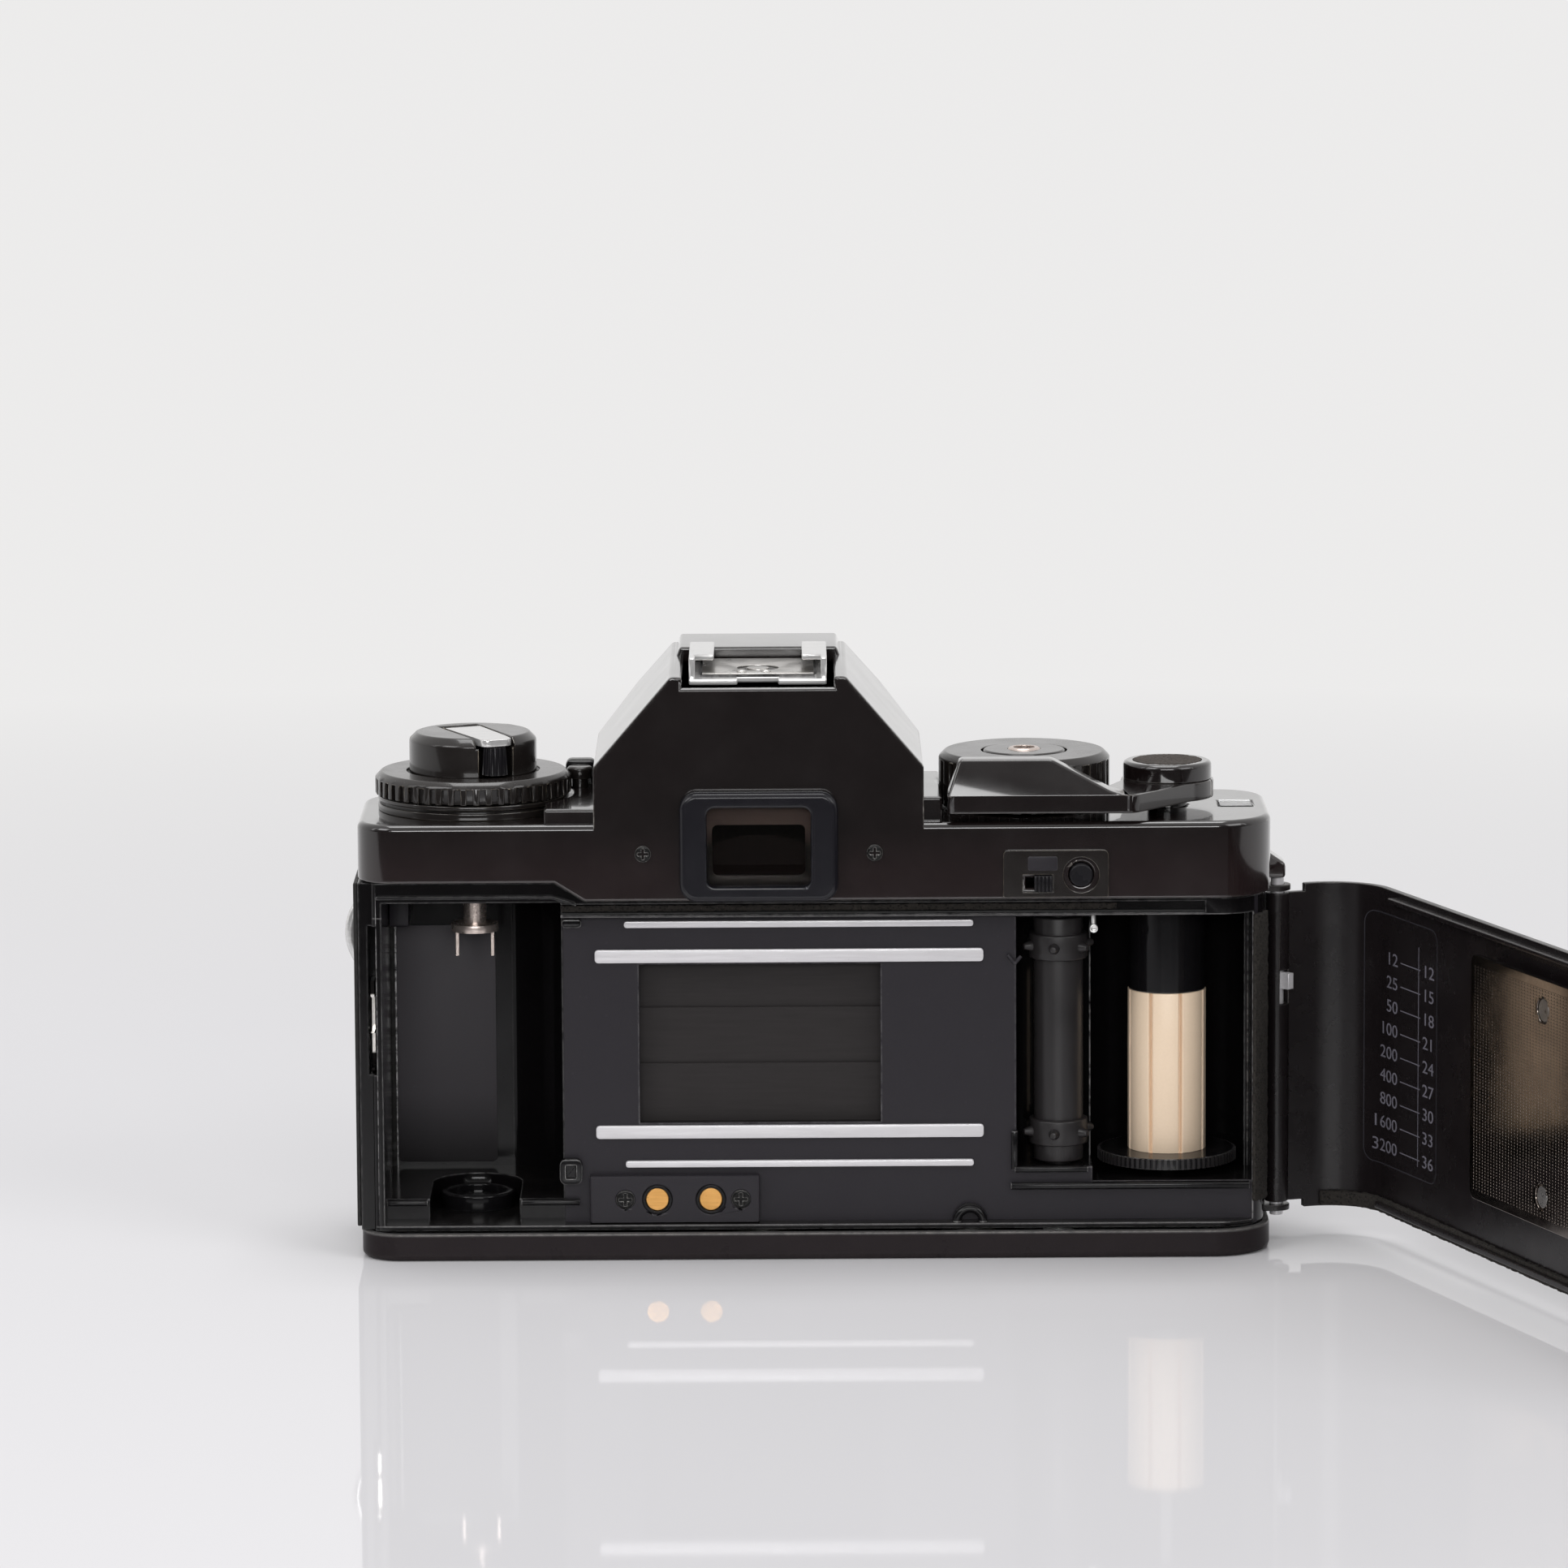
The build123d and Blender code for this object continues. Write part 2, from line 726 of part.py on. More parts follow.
def lens_mount_ring():
    ring = bar_y(0, lens_height, mount_radius, apron_front, flange_y)
    ring = chamfer(ring.edges().group_by(Axis.Y)[-1], 0.5)
    ring -= bar_y(0, lens_height, throat_radius, apron_front - over, flange_y + over)
    lip = bar_y(0, lens_height, throat_radius + 0.2, flange_y - 1.5, flange_y)
    lip -= bar_y(0, lens_height, throat_radius - bayonet_lug, flange_y - 3, flange_y + over)
    for step in range(3):
        gap = Pos(0, 0, lens_height) * Rot(0, 120 * step + 30, 0) * block(8, far, -far, far, -12.5, 12.5)
        lip -= gap
    ring += lip
    for x, z in mount_screw_places():
        ring -= bar_y(x, z, 1.6, flange_y - 0.8, flange_y + over)
    return ring - bar_y(lens_release_place()[2], lens_height, 0.9 + running_fit, apron_front - over, far)


def lens_release_radius():
    return 2.6


def lens_release_place():
    spread = mount_radius + lens_release_radius() + 0.3
    angle = radians(215)
    pin_x = -(mount_radius + throat_radius) / 2
    return spread * cos(angle), lens_height + spread * sin(angle), pin_x


def lens_release():
    x, z, pin_x = lens_release_place()
    arm_rear, arm_front = apron_front - 5.0, apron_front - 3.8
    button = bar_y(x, z, lens_release_radius(), arm_rear, apron_front + 2.5)
    button = fillet(button.edges().group_by(Axis.Y)[-1], 0.6)
    arm = block(min(x, pin_x) - 1.0, max(x, pin_x) + 1.0, arm_rear, arm_front, z, lens_height + 1.2)
    return button + arm + bar_y(pin_x, lens_height, 0.9, arm_rear, flange_y + 0.8)


# Rewind side of the deck
def hub_outer():
    return collar_radius + 2.4


def speed_dial_low():
    return deck + dial_base_height + 0.2


def speed_dial_top():
    return speed_dial_low() + 3.4


def knob_low():
    return speed_dial_top() - 0.4


def dial_base():
    base = post(rewind_x, rewind_y, speed_dial_radius - 0.4, deck, deck + dial_base_height)
    base -= tube(rewind_x, rewind_y, speed_dial_radius, speed_dial_radius - 1.2, deck + 1.1, deck + 1.5)
    base += post(rewind_x, rewind_y, hub_outer(), deck - 8.0, knob_low() - 0.6)
    return base - post(rewind_x, rewind_y, collar_radius + running_fit, 0, far)


def film_speed_dial():
    low, high = speed_dial_low(), speed_dial_top()
    dial = post(rewind_x, rewind_y, speed_dial_radius, low, high)
    dial = chamfer(dial.edges().group_by(Axis.Z)[-1], 0.9)
    dial -= post(rewind_x, rewind_y, hub_outer() + running_fit, 0, far)
    dial -= post(rewind_x, rewind_y, knob_radius + 0.45, knob_low() - seat_gap, far)
    notch_count = 48
    for step in range(notch_count):
        notch = block(speed_dial_radius - 0.6, speed_dial_radius + over, -0.45, 0.45, low - over, high - 1.1)
        dial -= Pos(rewind_x, rewind_y, 0) * Rot(0, 0, 360 / notch_count * step) * notch
    return dial


def lock_radius():
    return 1.9


# The lock stands clear of the prism housing and of the dial's rim
def lock_place():
    x = -hump_half_base - lock_radius() - 0.6
    reach = speed_dial_radius + lock_radius() + 0.1
    return x, rewind_y + sqrt(max(reach**2 - (x - rewind_x) ** 2, 0))


def dial_lock():
    x, y = lock_place()
    top = deck + 5.4
    button = post(x, y, lock_radius(), deck + 2.2 + 1.4, top)
    button = fillet(button.edges().group_by(Axis.Z)[-1], 0.5)
    return button + post(x, y, lock_radius() - 0.6 - running_fit, deck - cover_wall - 1.0, top - 1.0)


def rewind_collar():
    return tube(rewind_x, rewind_y, collar_radius, shaft_radius + running_fit, deck - 14.0, deck + 0.5)


def fork_top():
    return chamber_high - 5.5


def rewind_fork():
    top = fork_top()
    fork = post(rewind_x, rewind_y, shaft_radius, top - 0.1, knob_low() + 2.5)
    fork += post(rewind_x, rewind_y, fork_radius, top - 1.2, top)
    for side in (-1, 1):
        x0, x1 = sorted((rewind_x + side * (fork_radius - 1.25), rewind_x + side * (fork_radius - 0.65)))
        fork += block(x0, x1, rewind_y - 1.0, rewind_y + 1.0, top - 5.0, top - 1.0)
    return fork


# Something drawn with the crank lying along +X, set on the rewind axis
def on_knob(shape):
    return Pos(rewind_x, rewind_y, 0) * Rot(0, 0, crank_direction) * shape


def knob_top():
    return knob_low() + knob_height


def crank_sheet():
    return 1.1


def rewind_knob():
    low, top = knob_low(), knob_top()
    knob = post(0, 0, knob_radius, low, top)
    knob = chamfer(knob.edges().group_by(Axis.Z)[-1], 1.1)
    half = crank_width / 2 + 0.25
    floor = top - crank_sheet() - 0.35
    knob -= block(-crank_hinge - 2.2, far, -half, half, floor, far)
    knob -= post(crank_reach, 0, 2.6, low - over, far)
    knob -= block(crank_reach, far, -2.6, 2.6, low - over, far)
    knob -= post(0, 0, shaft_radius, low - over, low + 2.5)
    side = knob_radius
    knob -= bar_y(-crank_hinge, floor + 0.75, 0.5 + running_fit, -side, side)
    return on_knob(knob)


def crank_axis_z():
    return knob_top() - crank_sheet() - 0.35 + 0.75


def crank_arm():
    top = knob_top()
    low = top - crank_sheet()
    half = crank_width / 2
    tip, tip_half = crank_reach + 1.6, half - 0.4
    ends = [(-crank_hinge, -half), (tip, -tip_half), (tip, tip_half), (-crank_hinge, half)]
    arm = raised(rounded(ends, [0.2, 1.2, 1.2, 0.2]), low, top)
    arm += bar_y(-crank_hinge, crank_axis_z(), 0.72, -half, half)
    arm += bar_y(-crank_hinge, crank_axis_z(), 0.5, -half - 2.0, half + 2.0)
    arm += post(crank_reach, 0, 0.7, low - 3.8, low + 0.2)
    return on_knob(arm)


def crank_grip():
    top = knob_top() - crank_sheet() - 0.1
    low = speed_dial_top() + 0.35
    grip = Pos(crank_reach, 0, (low + top) / 2) * Cone(2.05, 1.7, top - low)
    return on_knob(grip - post(crank_reach, 0, 0.7 + running_fit, low + 0.2, far))


# Wind side of the deck
def shutter_dial():
    low, high = deck + 0.2, deck + dial_height
    dial = post(dial_x, dial_y, dial_radius, low, high)
    dial = chamfer(dial.edges().group_by(Axis.Z)[-1], 0.9)
    boss = release_radius + 1.2
    dial -= post(dial_x, dial_y, boss + running_fit, 0, high - 1.3)
    dial -= post(dial_x, dial_y, release_radius + 0.25, 0, far)
    flute_count = 24
    for step in range(flute_count):
        flute = post(dial_radius + 0.35, 0, 0.85, low - over, high - 1.2)
        dial -= Pos(dial_x, dial_y, 0) * Rot(0, 0, 360 / flute_count * step) * flute
    return dial


def release_top():
    return deck + dial_height + 0.15


def release_button():
    top = release_top()
    button = post(dial_x, dial_y, release_radius, deck - 0.6, top)
    button = chamfer(button.edges().group_by(Axis.Z)[-1], 0.3)
    button += post(dial_x, dial_y, 2.0, deck - 5.5, deck)
    return button - post(dial_x, dial_y, release_ring_radius, top - 4.2, far)


def release_ring():
    top = release_top() + 0.25
    ring = tube(dial_x, dial_y, release_ring_radius, release_thread_radius, release_top() - 4.2, top)
    return chamfer(ring.edges().group_by(Axis.Z)[-1].sort_by(SortBy.RADIUS)[-1:], 0.3)


def grip_tip_x():
    return wind_x - hub_radius + 1.5 - grip_length


def grip_rear_y():
    return rear_y - grip_overhang


def lever_low():
    return deck + 1.4


def wind_lever():
    low, top = lever_low(), lever_low() + lever_thickness
    tip, rear = grip_tip_x(), grip_rear_y()
    front = rear + grip_depth
    heel = tip + grip_length
    bend = wind_x - hub_radius - 4.0
    points = [(tip, rear), (heel, rear), (wind_x + hub_radius * 0.94, wind_y - hub_radius * 0.35)]
    points += [(wind_x, wind_y + hub_radius * 0.5), (wind_x - hub_radius * 0.9, wind_y)]
    points += [(bend, front), (tip + 0.9, front)]
    arm = raised(rounded(points, [1.0, 2.5, 0, 0, 2.5, 4.0, 1.0]), low, top)
    arm += post(wind_x, wind_y, hub_radius, low, top)
    high = top + grip_height
    crown = tip + grip_length * 0.56
    side = [(tip + 0.2, top - 0.2), (heel - 0.8, top - 0.2), (heel - 3.5, top + 0.5)]
    side += [(crown, high), (tip + 2.0, high)]
    grip = along_lens(side, [0, 0, 6.0, 3.0, 0.8], rear, front)
    slope = [(rear - over, top), (rear, top), (rear + 1.8, high), (rear + 1.8, far), (rear - over, far)]
    grip -= along_width(slope, [0] * 5, -far, far)
    arm += grip
    return arm + post(wind_x, wind_y, wind_shaft_radius, cover_edge + 0.6, low + 0.1)


def lever_cap():
    low = lever_low() + lever_thickness
    top = low + lever_cap_height
    cap = post(wind_x, wind_y, lever_cap_radius, low, top)
    cap = fillet(cap.edges().group_by(Axis.Z)[-1], 0.7)
    return cap - post(wind_x, wind_y, lever_cap_radius - 1.4, top - 0.25, far)


def counter_opening():
    middle, half = wind_x + 10.3, 2.4
    return middle - half, middle + half, wind_y - 1.6, wind_y + 4.2


def counter_window():
    x0, x1, y0, y1 = counter_opening()
    return block(x0, x1, y0, y1, deck - cover_wall, deck + 0.1)


def counter_disc():
    outer, inner = wind_inset - cover_wall - 0.7, wind_shaft_radius + running_fit
    return tube(wind_x, wind_y, outer, inner, deck - 3.2, deck - 2.4)


# Take-up spool and sprocket
def spool_base():
    return take_up_low + 1.3


def spool_split():
    return lens_height + 6.2


def take_up_spool():
    low, high = spool_base() + spool_flange_height, spool_split()
    spool = tube(wind_x, wind_y, spool_radius, spool_radius - 1.3, low, high)
    slot_count = 6
    for step in range(slot_count):
        slot = block(spool_radius - 0.7, far, -0.45, 0.45, low - over, high + over)
        spool -= Pos(wind_x, wind_y, 0) * Rot(0, 0, 360 / slot_count * step + 40) * slot
    return spool


def spool_core():
    low, split = spool_base(), spool_split()
    flange_top = low + spool_flange_height
    flange = post(wind_x, wind_y, spool_flange_radius, low, flange_top)
    core = flange + post(wind_x, wind_y, spool_radius - 1.3, flange_top, split)
    core += post(wind_x, wind_y, spool_radius - 0.15, split, recess_high - 0.5)
    return core + post(wind_x, wind_y, 2.5, base_height + 1.8, cover_edge - 0.3)


def sprocket():
    low, high = take_up_low + 2.7, recess_high - 1.1
    bar = post(sprocket_x, sprocket_y, sprocket_shaft_radius, low, high)
    bar += post(sprocket_x, sprocket_y, 2.0, base_height + 3.2, cover_edge - 0.3)
    for side in (-1, 1):
        z = lens_height + side * perforation_spread
        bar += post(sprocket_x, sprocket_y, sprocket_radius, z - 1.9, z + 1.9)
        for step in range(tooth_count):
            length = tooth_reach + 0.4
            tooth = Pos(sprocket_radius - 0.4 + length / 2, 0, z) * Rot(0, 90, 0) * Cone(0.95, 0.45, length)
            bar += Pos(sprocket_x, sprocket_y, 0) * Rot(0, 0, 360 / tooth_count * step + 20) * tooth
    return bar


# Rear switch panel
def switch_plate_box():
    return dial_x - 3.7, dial_x + 12.0, cover_edge + 0.4, cover_edge + 7.5


def slider_slot():
    x0, x1, z0, z1 = switch_plate_box()
    return x0 + 3.0, x0 + 7.4, z0 + 0.8, z0 + 3.4


def rear_button_radius():
    return 1.75


def rear_button_place():
    x0, x1, z0, z1 = switch_plate_box()
    return x1 - 4.1, (z0 + z1) / 2 - 0.2


def switch_plate():
    x0, x1, z0, z1 = switch_plate_box()
    corners = [(x0, z0), (x1, z0), (x1, z1), (x0, z1)]
    plate = along_lens(corners, [0.3, 0.3, 0.8, 0.8], rear_y - 0.5, rear_y)
    s0, s1, t0, t1 = slider_slot()
    plate -= block(s0, s1, rear_y - over, rear_y + over, t0, t1)
    return plate - bar_y(*rear_button_place(), 2.65, rear_y - over, rear_y + over)


def mode_slider():
    s0, s1, t0, t1 = slider_slot()
    left = s1 - 2.75
    cap = block(left, s1 - 0.15, rear_y - 1.1, rear_y - 0.05, t0 + 0.1, t1 - 0.1)
    stem = block(left + 0.9, s1 - 1.05, rear_y - 0.2, rear_y + cover_wall + 0.2, t0 + 0.65, t1 - 0.65)
    foot = block(left, s1 - 0.15, rear_y + cover_wall + 0.05, rear_y + cover_wall + 0.8, t0 + 0.2, t1 - 0.2)
    for step in range(4):
        x = left + 0.45 + 0.57 * step
        cap -= block(x - 0.12, x + 0.12, rear_y - over - 0.2, rear_y - 0.8, t0, t1)
    return cap + stem + foot


def rear_button():
    x, z = rear_button_place()
    button = bar_y(x, z, rear_button_radius(), rear_y - 0.9, rear_y + cover_wall + 1.6)
    button = fillet(button.edges().group_by(Axis.Y)[0], 0.3)
    inside = rear_y + cover_wall
    return button + bar_y(x, z, rear_button_radius() + 0.7, inside + 0.05, inside + 0.8)


# Back door, drawn shut and then swung to where it stands
def opened(shape):
    return turned(shape, hinge_x, hinge_y, door_open_angle)


def door_bend_centre():
    return body_right - door_bend + 1.05, rear_y + door_wall / 2 + door_bend


def door_left_centre():
    return -body_left + door_left_bend, rear_y + door_left_bend


# Angle at which the flat strip from the hinge runs into the bend
def strip_angle():
    x, y = door_bend_centre()
    reach = hypot(hinge_x - x, hinge_y - y)
    return degrees(atan2(hinge_y - y, hinge_x - x) - acos(door_bend / reach))


# Plan of the shut door between two offsets from its middle line
def door_plan(inner, outer):
    cx, cy = door_bend_centre()
    lx, ly = door_left_centre()
    angle = strip_angle()
    nx, ny = cos(radians(angle)), sin(radians(angle))
    left = door_left_bend - door_wall / 2
    end = ly + 0.4

    def run(offset):
        big, small = door_bend + offset, left + offset
        points = [(hinge_x + nx * offset, hinge_y + ny * offset), (cx + nx * big, cy + ny * big)]
        points += [(cx, cy - big), (lx, ly - small), (lx - small, ly), (lx - small, end)]
        return points, big, small

    p, big_in, small_in = run(inner)
    q, big_out, small_out = run(outer)
    turn = 90 + angle
    edges = [Line(p[0], p[1]), CenterArc((cx, cy), big_in, angle, -turn), Line(p[2], p[3])]
    edges += [CenterArc((lx, ly), small_in, -90, -90), Line(p[4], p[5]), Line(p[5], q[5]), Line(q[5], q[4])]
    edges += [CenterArc((lx, ly), small_out, 180, 90), Line(q[3], q[2])]
    edges += [CenterArc((cx, cy), big_out, -90, turn), Line(q[1], q[0]), Line(q[0], p[0])]
    return make_face(edges)


def door_low():
    return base_height + seat_gap


def knuckle_span():
    return base_height + 1.5, cover_edge - 1.5


def knuckle_radius():
    return hinge_pin_radius + running_fit + knuckle_wall


def film_door():
    half = door_wall / 2
    door = raised(door_plan(-half, half), door_low(), deck) - above_edge(-seat_gap)
    rib = 1.4
    inner = rear_y + door_wall
    left, right = rewind_x - cassette_radius + 1.0, door_bend_centre()[0]
    door += block(left, right, inner - 0.1, inner + rib, recess_low + 0.4, recess_low + 1.4)
    groove_middle = (recess_high + 0.5 + cover_edge - 0.8) / 2
    door += block(left, right - 4, inner - 0.1, inner + rib, groove_middle - 0.4, groove_middle + 0.4)
    low, high = knuckle_span()
    door += post(hinge_x, hinge_y, knuckle_radius(), low, high)
    clear = knuckle_radius() + 2.4
    door -= post(hinge_x, hinge_y, clear, 0, low) + post(hinge_x, hinge_y, clear, high, far)
    door -= post(hinge_x, hinge_y, hinge_pin_radius + running_fit, 0, far)
    door -= pin_lever(over=0.35, travel=pin_travel)
    for foot in catch_heights():
        x0, x1, y0, y1 = latch_place()
        door += block(x0 + 0.1, x1 - 0.1, inner - 0.1, y0 + 1.8, foot + 0.1, foot + 2.1)
    return opened(door)


# Small lever on the hinge pin, in a slot of the knuckle, with room around it if asked
def pin_lever(over=0.0, travel=0.0):
    low, high = pin_lever_heights()
    half, tip = 0.6 + over, hinge_x - pin_lever_reach() - over
    lever = block(tip, hinge_x, hinge_y - half, hinge_y + half, low - over - travel, high + over)
    return turned(lever, hinge_x, hinge_y, 25.0)


def pin_lever_heights():
    middle = lens_height + 7.6
    return middle - 1.2, middle + 1.2


def pin_lever_reach():
    return knuckle_radius() + 1.0


# Hollow in the jamb that the lever swings into as the door shuts
def pin_lever_room():
    low, high = pin_lever_heights()
    radius = hypot(pin_lever_reach(), 0.6) + seat_gap
    return post(hinge_x, hinge_y, radius, low - pin_travel - seat_gap, high + seat_gap)


def hinge_pin():
    low, high = base_height - 0.6, cover_edge + 0.8
    return opened(post(hinge_x, hinge_y, hinge_pin_radius, low, high) + pin_lever())


def hinge_ears():
    ears = []
    for low in (base_height + 0.2, cover_edge - 1.1):
        ear = block(casting_right, hinge_x, hinge_y - 2.0, hinge_y + 2.0, low, low + 0.9)
        ear += post(hinge_x, hinge_y, 2.0, low, low + 0.9)
        ears.append(ear - post(hinge_x, hinge_y, hinge_pin_radius + running_fit, 0, far))
    return Part() + ears


def door_leatherette():
    half = door_wall / 2
    cover = raised(door_plan(half, half + skin), door_low() + 2.0, cover_edge - 2.4)
    keep = block(-body_left + door_left_bend, door_bend_centre()[0], -far, far, 0, far)
    return opened(cover & keep)


def plate_face():
    return film_plane - outer_rail_proud - seat_gap


def plate_left():
    return gate_reach_right - plate_inset - plate_length


def rivet_places():
    spread = plate_height / 2 - 4.5
    xs = (plate_left() + rivet_inset, plate_left() + plate_length - rivet_inset)
    return [(x, lens_height + side * spread) for x in xs for side in (-1, 1)]


def pressure_plate():
    left, half = plate_left(), plate_height / 2
    corners = [(left, lens_height - half), (left + plate_length, lens_height - half)]
    corners += [(left + plate_length, lens_height + half), (left, lens_height + half)]
    front = plate_face()
    plate = along_lens(corners, [1.5] * 4, front - plate_thickness, front)
    for x, z in rivet_places():
        plate -= bar_y(x, z, rivet_radius + running_fit, front - far, far)
        plate -= bar_y(x, z, rivet_radius + 0.9, front - 0.5, far)
    return opened(plate)


# Rivets that the pressure plate slides on and the bowed spring behind it
def plate_spring():
    door_face = rear_y + door_wall
    solids = []
    for x, z in rivet_places():
        rivet = bar_y(x, z, rivet_radius, door_face, plate_face() - 0.1)
        solids.append(rivet + bar_y(x, z, rivet_radius + 0.6, plate_face() - 0.45, plate_face() - 0.1))
    middle = plate_left() + plate_length / 2
    crown = plate_face() - plate_thickness - plate_travel - 0.15
    sheet = 0.3
    reach = 22.0
    left, right = middle - reach, middle + reach
    upper = ThreePointArc((left, door_face + sheet), (middle, crown), (right, door_face + sheet))
    lower = ThreePointArc((right, door_face), (middle, crown - sheet), (left, door_face))
    ends = [Line(upper @ 1, lower @ 0), Line(lower @ 1, upper @ 0)]
    bow = raised(make_face([upper, lower] + ends), lens_height - 5.0, lens_height + 5.0)
    return opened(Part() + solids + bow)


# Foam strips on the chassis
def light_seals():
    cx, cy = casting_right - jamb_corner(), casting_rear + jamb_corner()
    low, high = recess_low + 0.5, recess_high - 0.2
    ring = tube(cx, cy, jamb_corner() + 0.7, jamb_corner(), low, high)
    wedge = make_face(Polyline((0, 0), (30, -6), (30, -30), (0, 0)))
    jamb = ring & (Pos(cx, cy, 0) * raised(wedge, low, high))
    left, right = rewind_x + cassette_radius, wind_x - 8
    bottom = casting_rear + 1.2
    strip = block(left, right, bottom - 0.4, bottom, recess_high + 0.7, cover_edge - 1.0)
    return Part() + [jamb, strip]


def jamb_corner():
    return rear_right_corner - door_wall - rim_gap + 0.35


# Base
def tripod_bush_top():
    return tripod_depth + 1.2


def tripod_bush():
    bush = post(0, 0, tripod_bush_radius, 0, tripod_bush_top())
    return bush - post(0, 0, tripod_radius, -over, tripod_depth)


def battery_place():
    return (cavity_half + gate_reach_right) / 2, 3.0


def battery_top():
    return base_height - 0.9 + 2 * cell_height + seat_gap


def battery_cells():
    x, y = battery_place()
    low = base_height - 0.9
    gap = 0.05
    middle, high = low + cell_height, low + 2 * cell_height
    upper = post(x, y, cell_radius, middle, high - gap)
    return Part() + [post(x, y, cell_radius, low, middle - gap), upper]


def battery_cap():
    x, y = battery_place()
    cap = post(x, y, battery_cap_radius, 0.2, base_height - 1.2)
    return cap - block(x - 4.5, x + 4.5, y - 0.7, y + 0.7, 0, 1.1)


def rewind_release():
    button = post(sprocket_x, sprocket_y, rewind_release_radius, 0.25, base_height - 0.4)
    low, high = cover_wall + 0.2, cover_wall + 1.0
    return button + post(sprocket_x, sprocket_y, rewind_release_radius + 0.2, low, high)


# Strap lugs and rings
def lug_places():
    return {"left": -body_left + lug_inset, "right": body_right - lug_inset - 3.0}


def lug_eye():
    return casting_front + skin + 2.6, cover_edge - 2.7


def strap_lugs():
    lugs = []
    y, z = lug_eye()
    face = casting_front + skin
    for x in lug_places().values():
        lug = bar_x(y, z, 2.1, x - 1.0, x + 1.0) + block(x - 1.0, x + 1.0, face, y, z - 2.1, z + 2.1)
        lug += bar_y(x, z, 2.3, face, face + 0.8)
        lugs.append(lug - bar_x(y, z, ring_wire_radius + 0.4, x - 2, x + 2))
    return Part() + lugs


def strap_ring(side):
    y, z = lug_eye()
    x = lug_places()[side]
    return Pos(x, y, z - ring_mean_radius) * Rot(90, 0, 0) * Torus(ring_mean_radius, ring_wire_radius)


pieces = {
    "body_casting": body_casting(),
    "top_cover": top_cover(),
    "bottom_cover": bottom_cover(),
    "front_apron": front_apron(),
    "lens_mount_ring": lens_mount_ring(),
    "screws": screws(),
    "body_leatherette": body_leatherette(),
    "mirror_box": mirror_box(),
    "focusing_screen": focusing_screen(),
    "pentaprism": pentaprism(),
    "eyepiece_frame": eyepiece_frame(),
    "eyepiece_lens": eyepiece_lens(),
    "hot_shoe": hot_shoe(),
    "shoe_insulator": shoe_insulator(),
    "shoe_contact": shoe_contact(),
    "film_rails": film_rails(),
    "shutter_frame": shutter_frame(),
    "contact_plate": contact_plate(),
    "contact_pins": contact_pins(),
    "switch_plate": switch_plate(),
    "counter_window": counter_window(),
    "light_seals": light_seals(),
    "dial_base": dial_base(),
    "strap_lugs": strap_lugs(),
    "hinge_ears": hinge_ears(),
    "tripod_bush": tripod_bush(),
    "battery_cells": battery_cells(),
    "film_door": film_door(),
    "door_leatherette": door_leatherette(),
    "plate_spring": plate_spring(),
    "pressure_plate": pressure_plate(),
    "hinge_pin": hinge_pin(),
    "rewind_collar": rewind_collar(),
    "rewind_knob": rewind_knob(),
    "rewind_fork": rewind_fork(),
    "crank_arm": crank_arm(),
    "crank_grip": crank_grip(),
    "film_speed_dial": film_speed_dial(),
    "dial_lock": dial_lock(),
    "door_latch": door_latch(),
    "shutter_dial": shutter_dial(),
    "release_button": release_button(),
    "release_ring": release_ring(),
    "wind_lever": wind_lever(),
    "lever_cap": lever_cap(),
    "take_up_spool": take_up_spool(),
    "spool_core": spool_core(),
    "sprocket": sprocket(),
    "counter_disc": counter_disc(),
    "mode_slider": mode_slider(),
    "rear_button": rear_button(),
    "reflex_mirror": reflex_mirror(),
    "lens_release": lens_release(),
    "battery_cap": battery_cap(),
    "rewind_release": rewind_release(),
}
for number in range(3):
    pieces[f"shutter_blade_{number + 1}"] = shutter_blade(number)
for side_name in lug_places():
    pieces[f"strap_ring_{side_name}"] = strap_ring(side_name)

os.makedirs("parts", exist_ok=True)
for node, solid in pieces.items():
    export_step(solid, f"parts/{node}.step")
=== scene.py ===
import json
import math

import bmesh
import bpy
from mathutils import Matrix, Vector


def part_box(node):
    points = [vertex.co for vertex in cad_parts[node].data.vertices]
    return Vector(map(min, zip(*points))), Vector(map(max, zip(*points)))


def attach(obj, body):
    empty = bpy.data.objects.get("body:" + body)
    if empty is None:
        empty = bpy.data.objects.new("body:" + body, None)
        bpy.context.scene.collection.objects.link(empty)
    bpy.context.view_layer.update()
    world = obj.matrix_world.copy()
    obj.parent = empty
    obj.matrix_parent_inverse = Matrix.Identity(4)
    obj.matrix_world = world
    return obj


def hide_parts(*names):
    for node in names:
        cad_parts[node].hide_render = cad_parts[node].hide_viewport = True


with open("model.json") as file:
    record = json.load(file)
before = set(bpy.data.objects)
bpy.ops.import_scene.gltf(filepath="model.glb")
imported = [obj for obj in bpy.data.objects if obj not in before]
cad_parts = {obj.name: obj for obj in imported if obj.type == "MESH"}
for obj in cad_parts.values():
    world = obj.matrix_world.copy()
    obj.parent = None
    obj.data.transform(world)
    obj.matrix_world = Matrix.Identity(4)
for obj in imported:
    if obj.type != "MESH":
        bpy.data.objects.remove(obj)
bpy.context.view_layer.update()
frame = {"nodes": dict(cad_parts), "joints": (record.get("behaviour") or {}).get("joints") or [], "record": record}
nodes = frame["nodes"]
mm = 0.001
bodies = frame["record"]["behaviour"]["bodies"]
homeBody = {node: body for body, members in bodies.items() for node in members}
upward, rearward, rightward = Vector((0, 0, 1)), Vector((0, -1, 0)), Vector((1, 0, 0))
print("frame loaded:", len(nodes), "nodes")


# working by hand: selection, edit mode and modifiers
def clearSelection():
    if bpy.context.mode != "OBJECT":
        bpy.ops.object.mode_set(mode="OBJECT")
    bpy.ops.object.select_all(action="DESELECT")


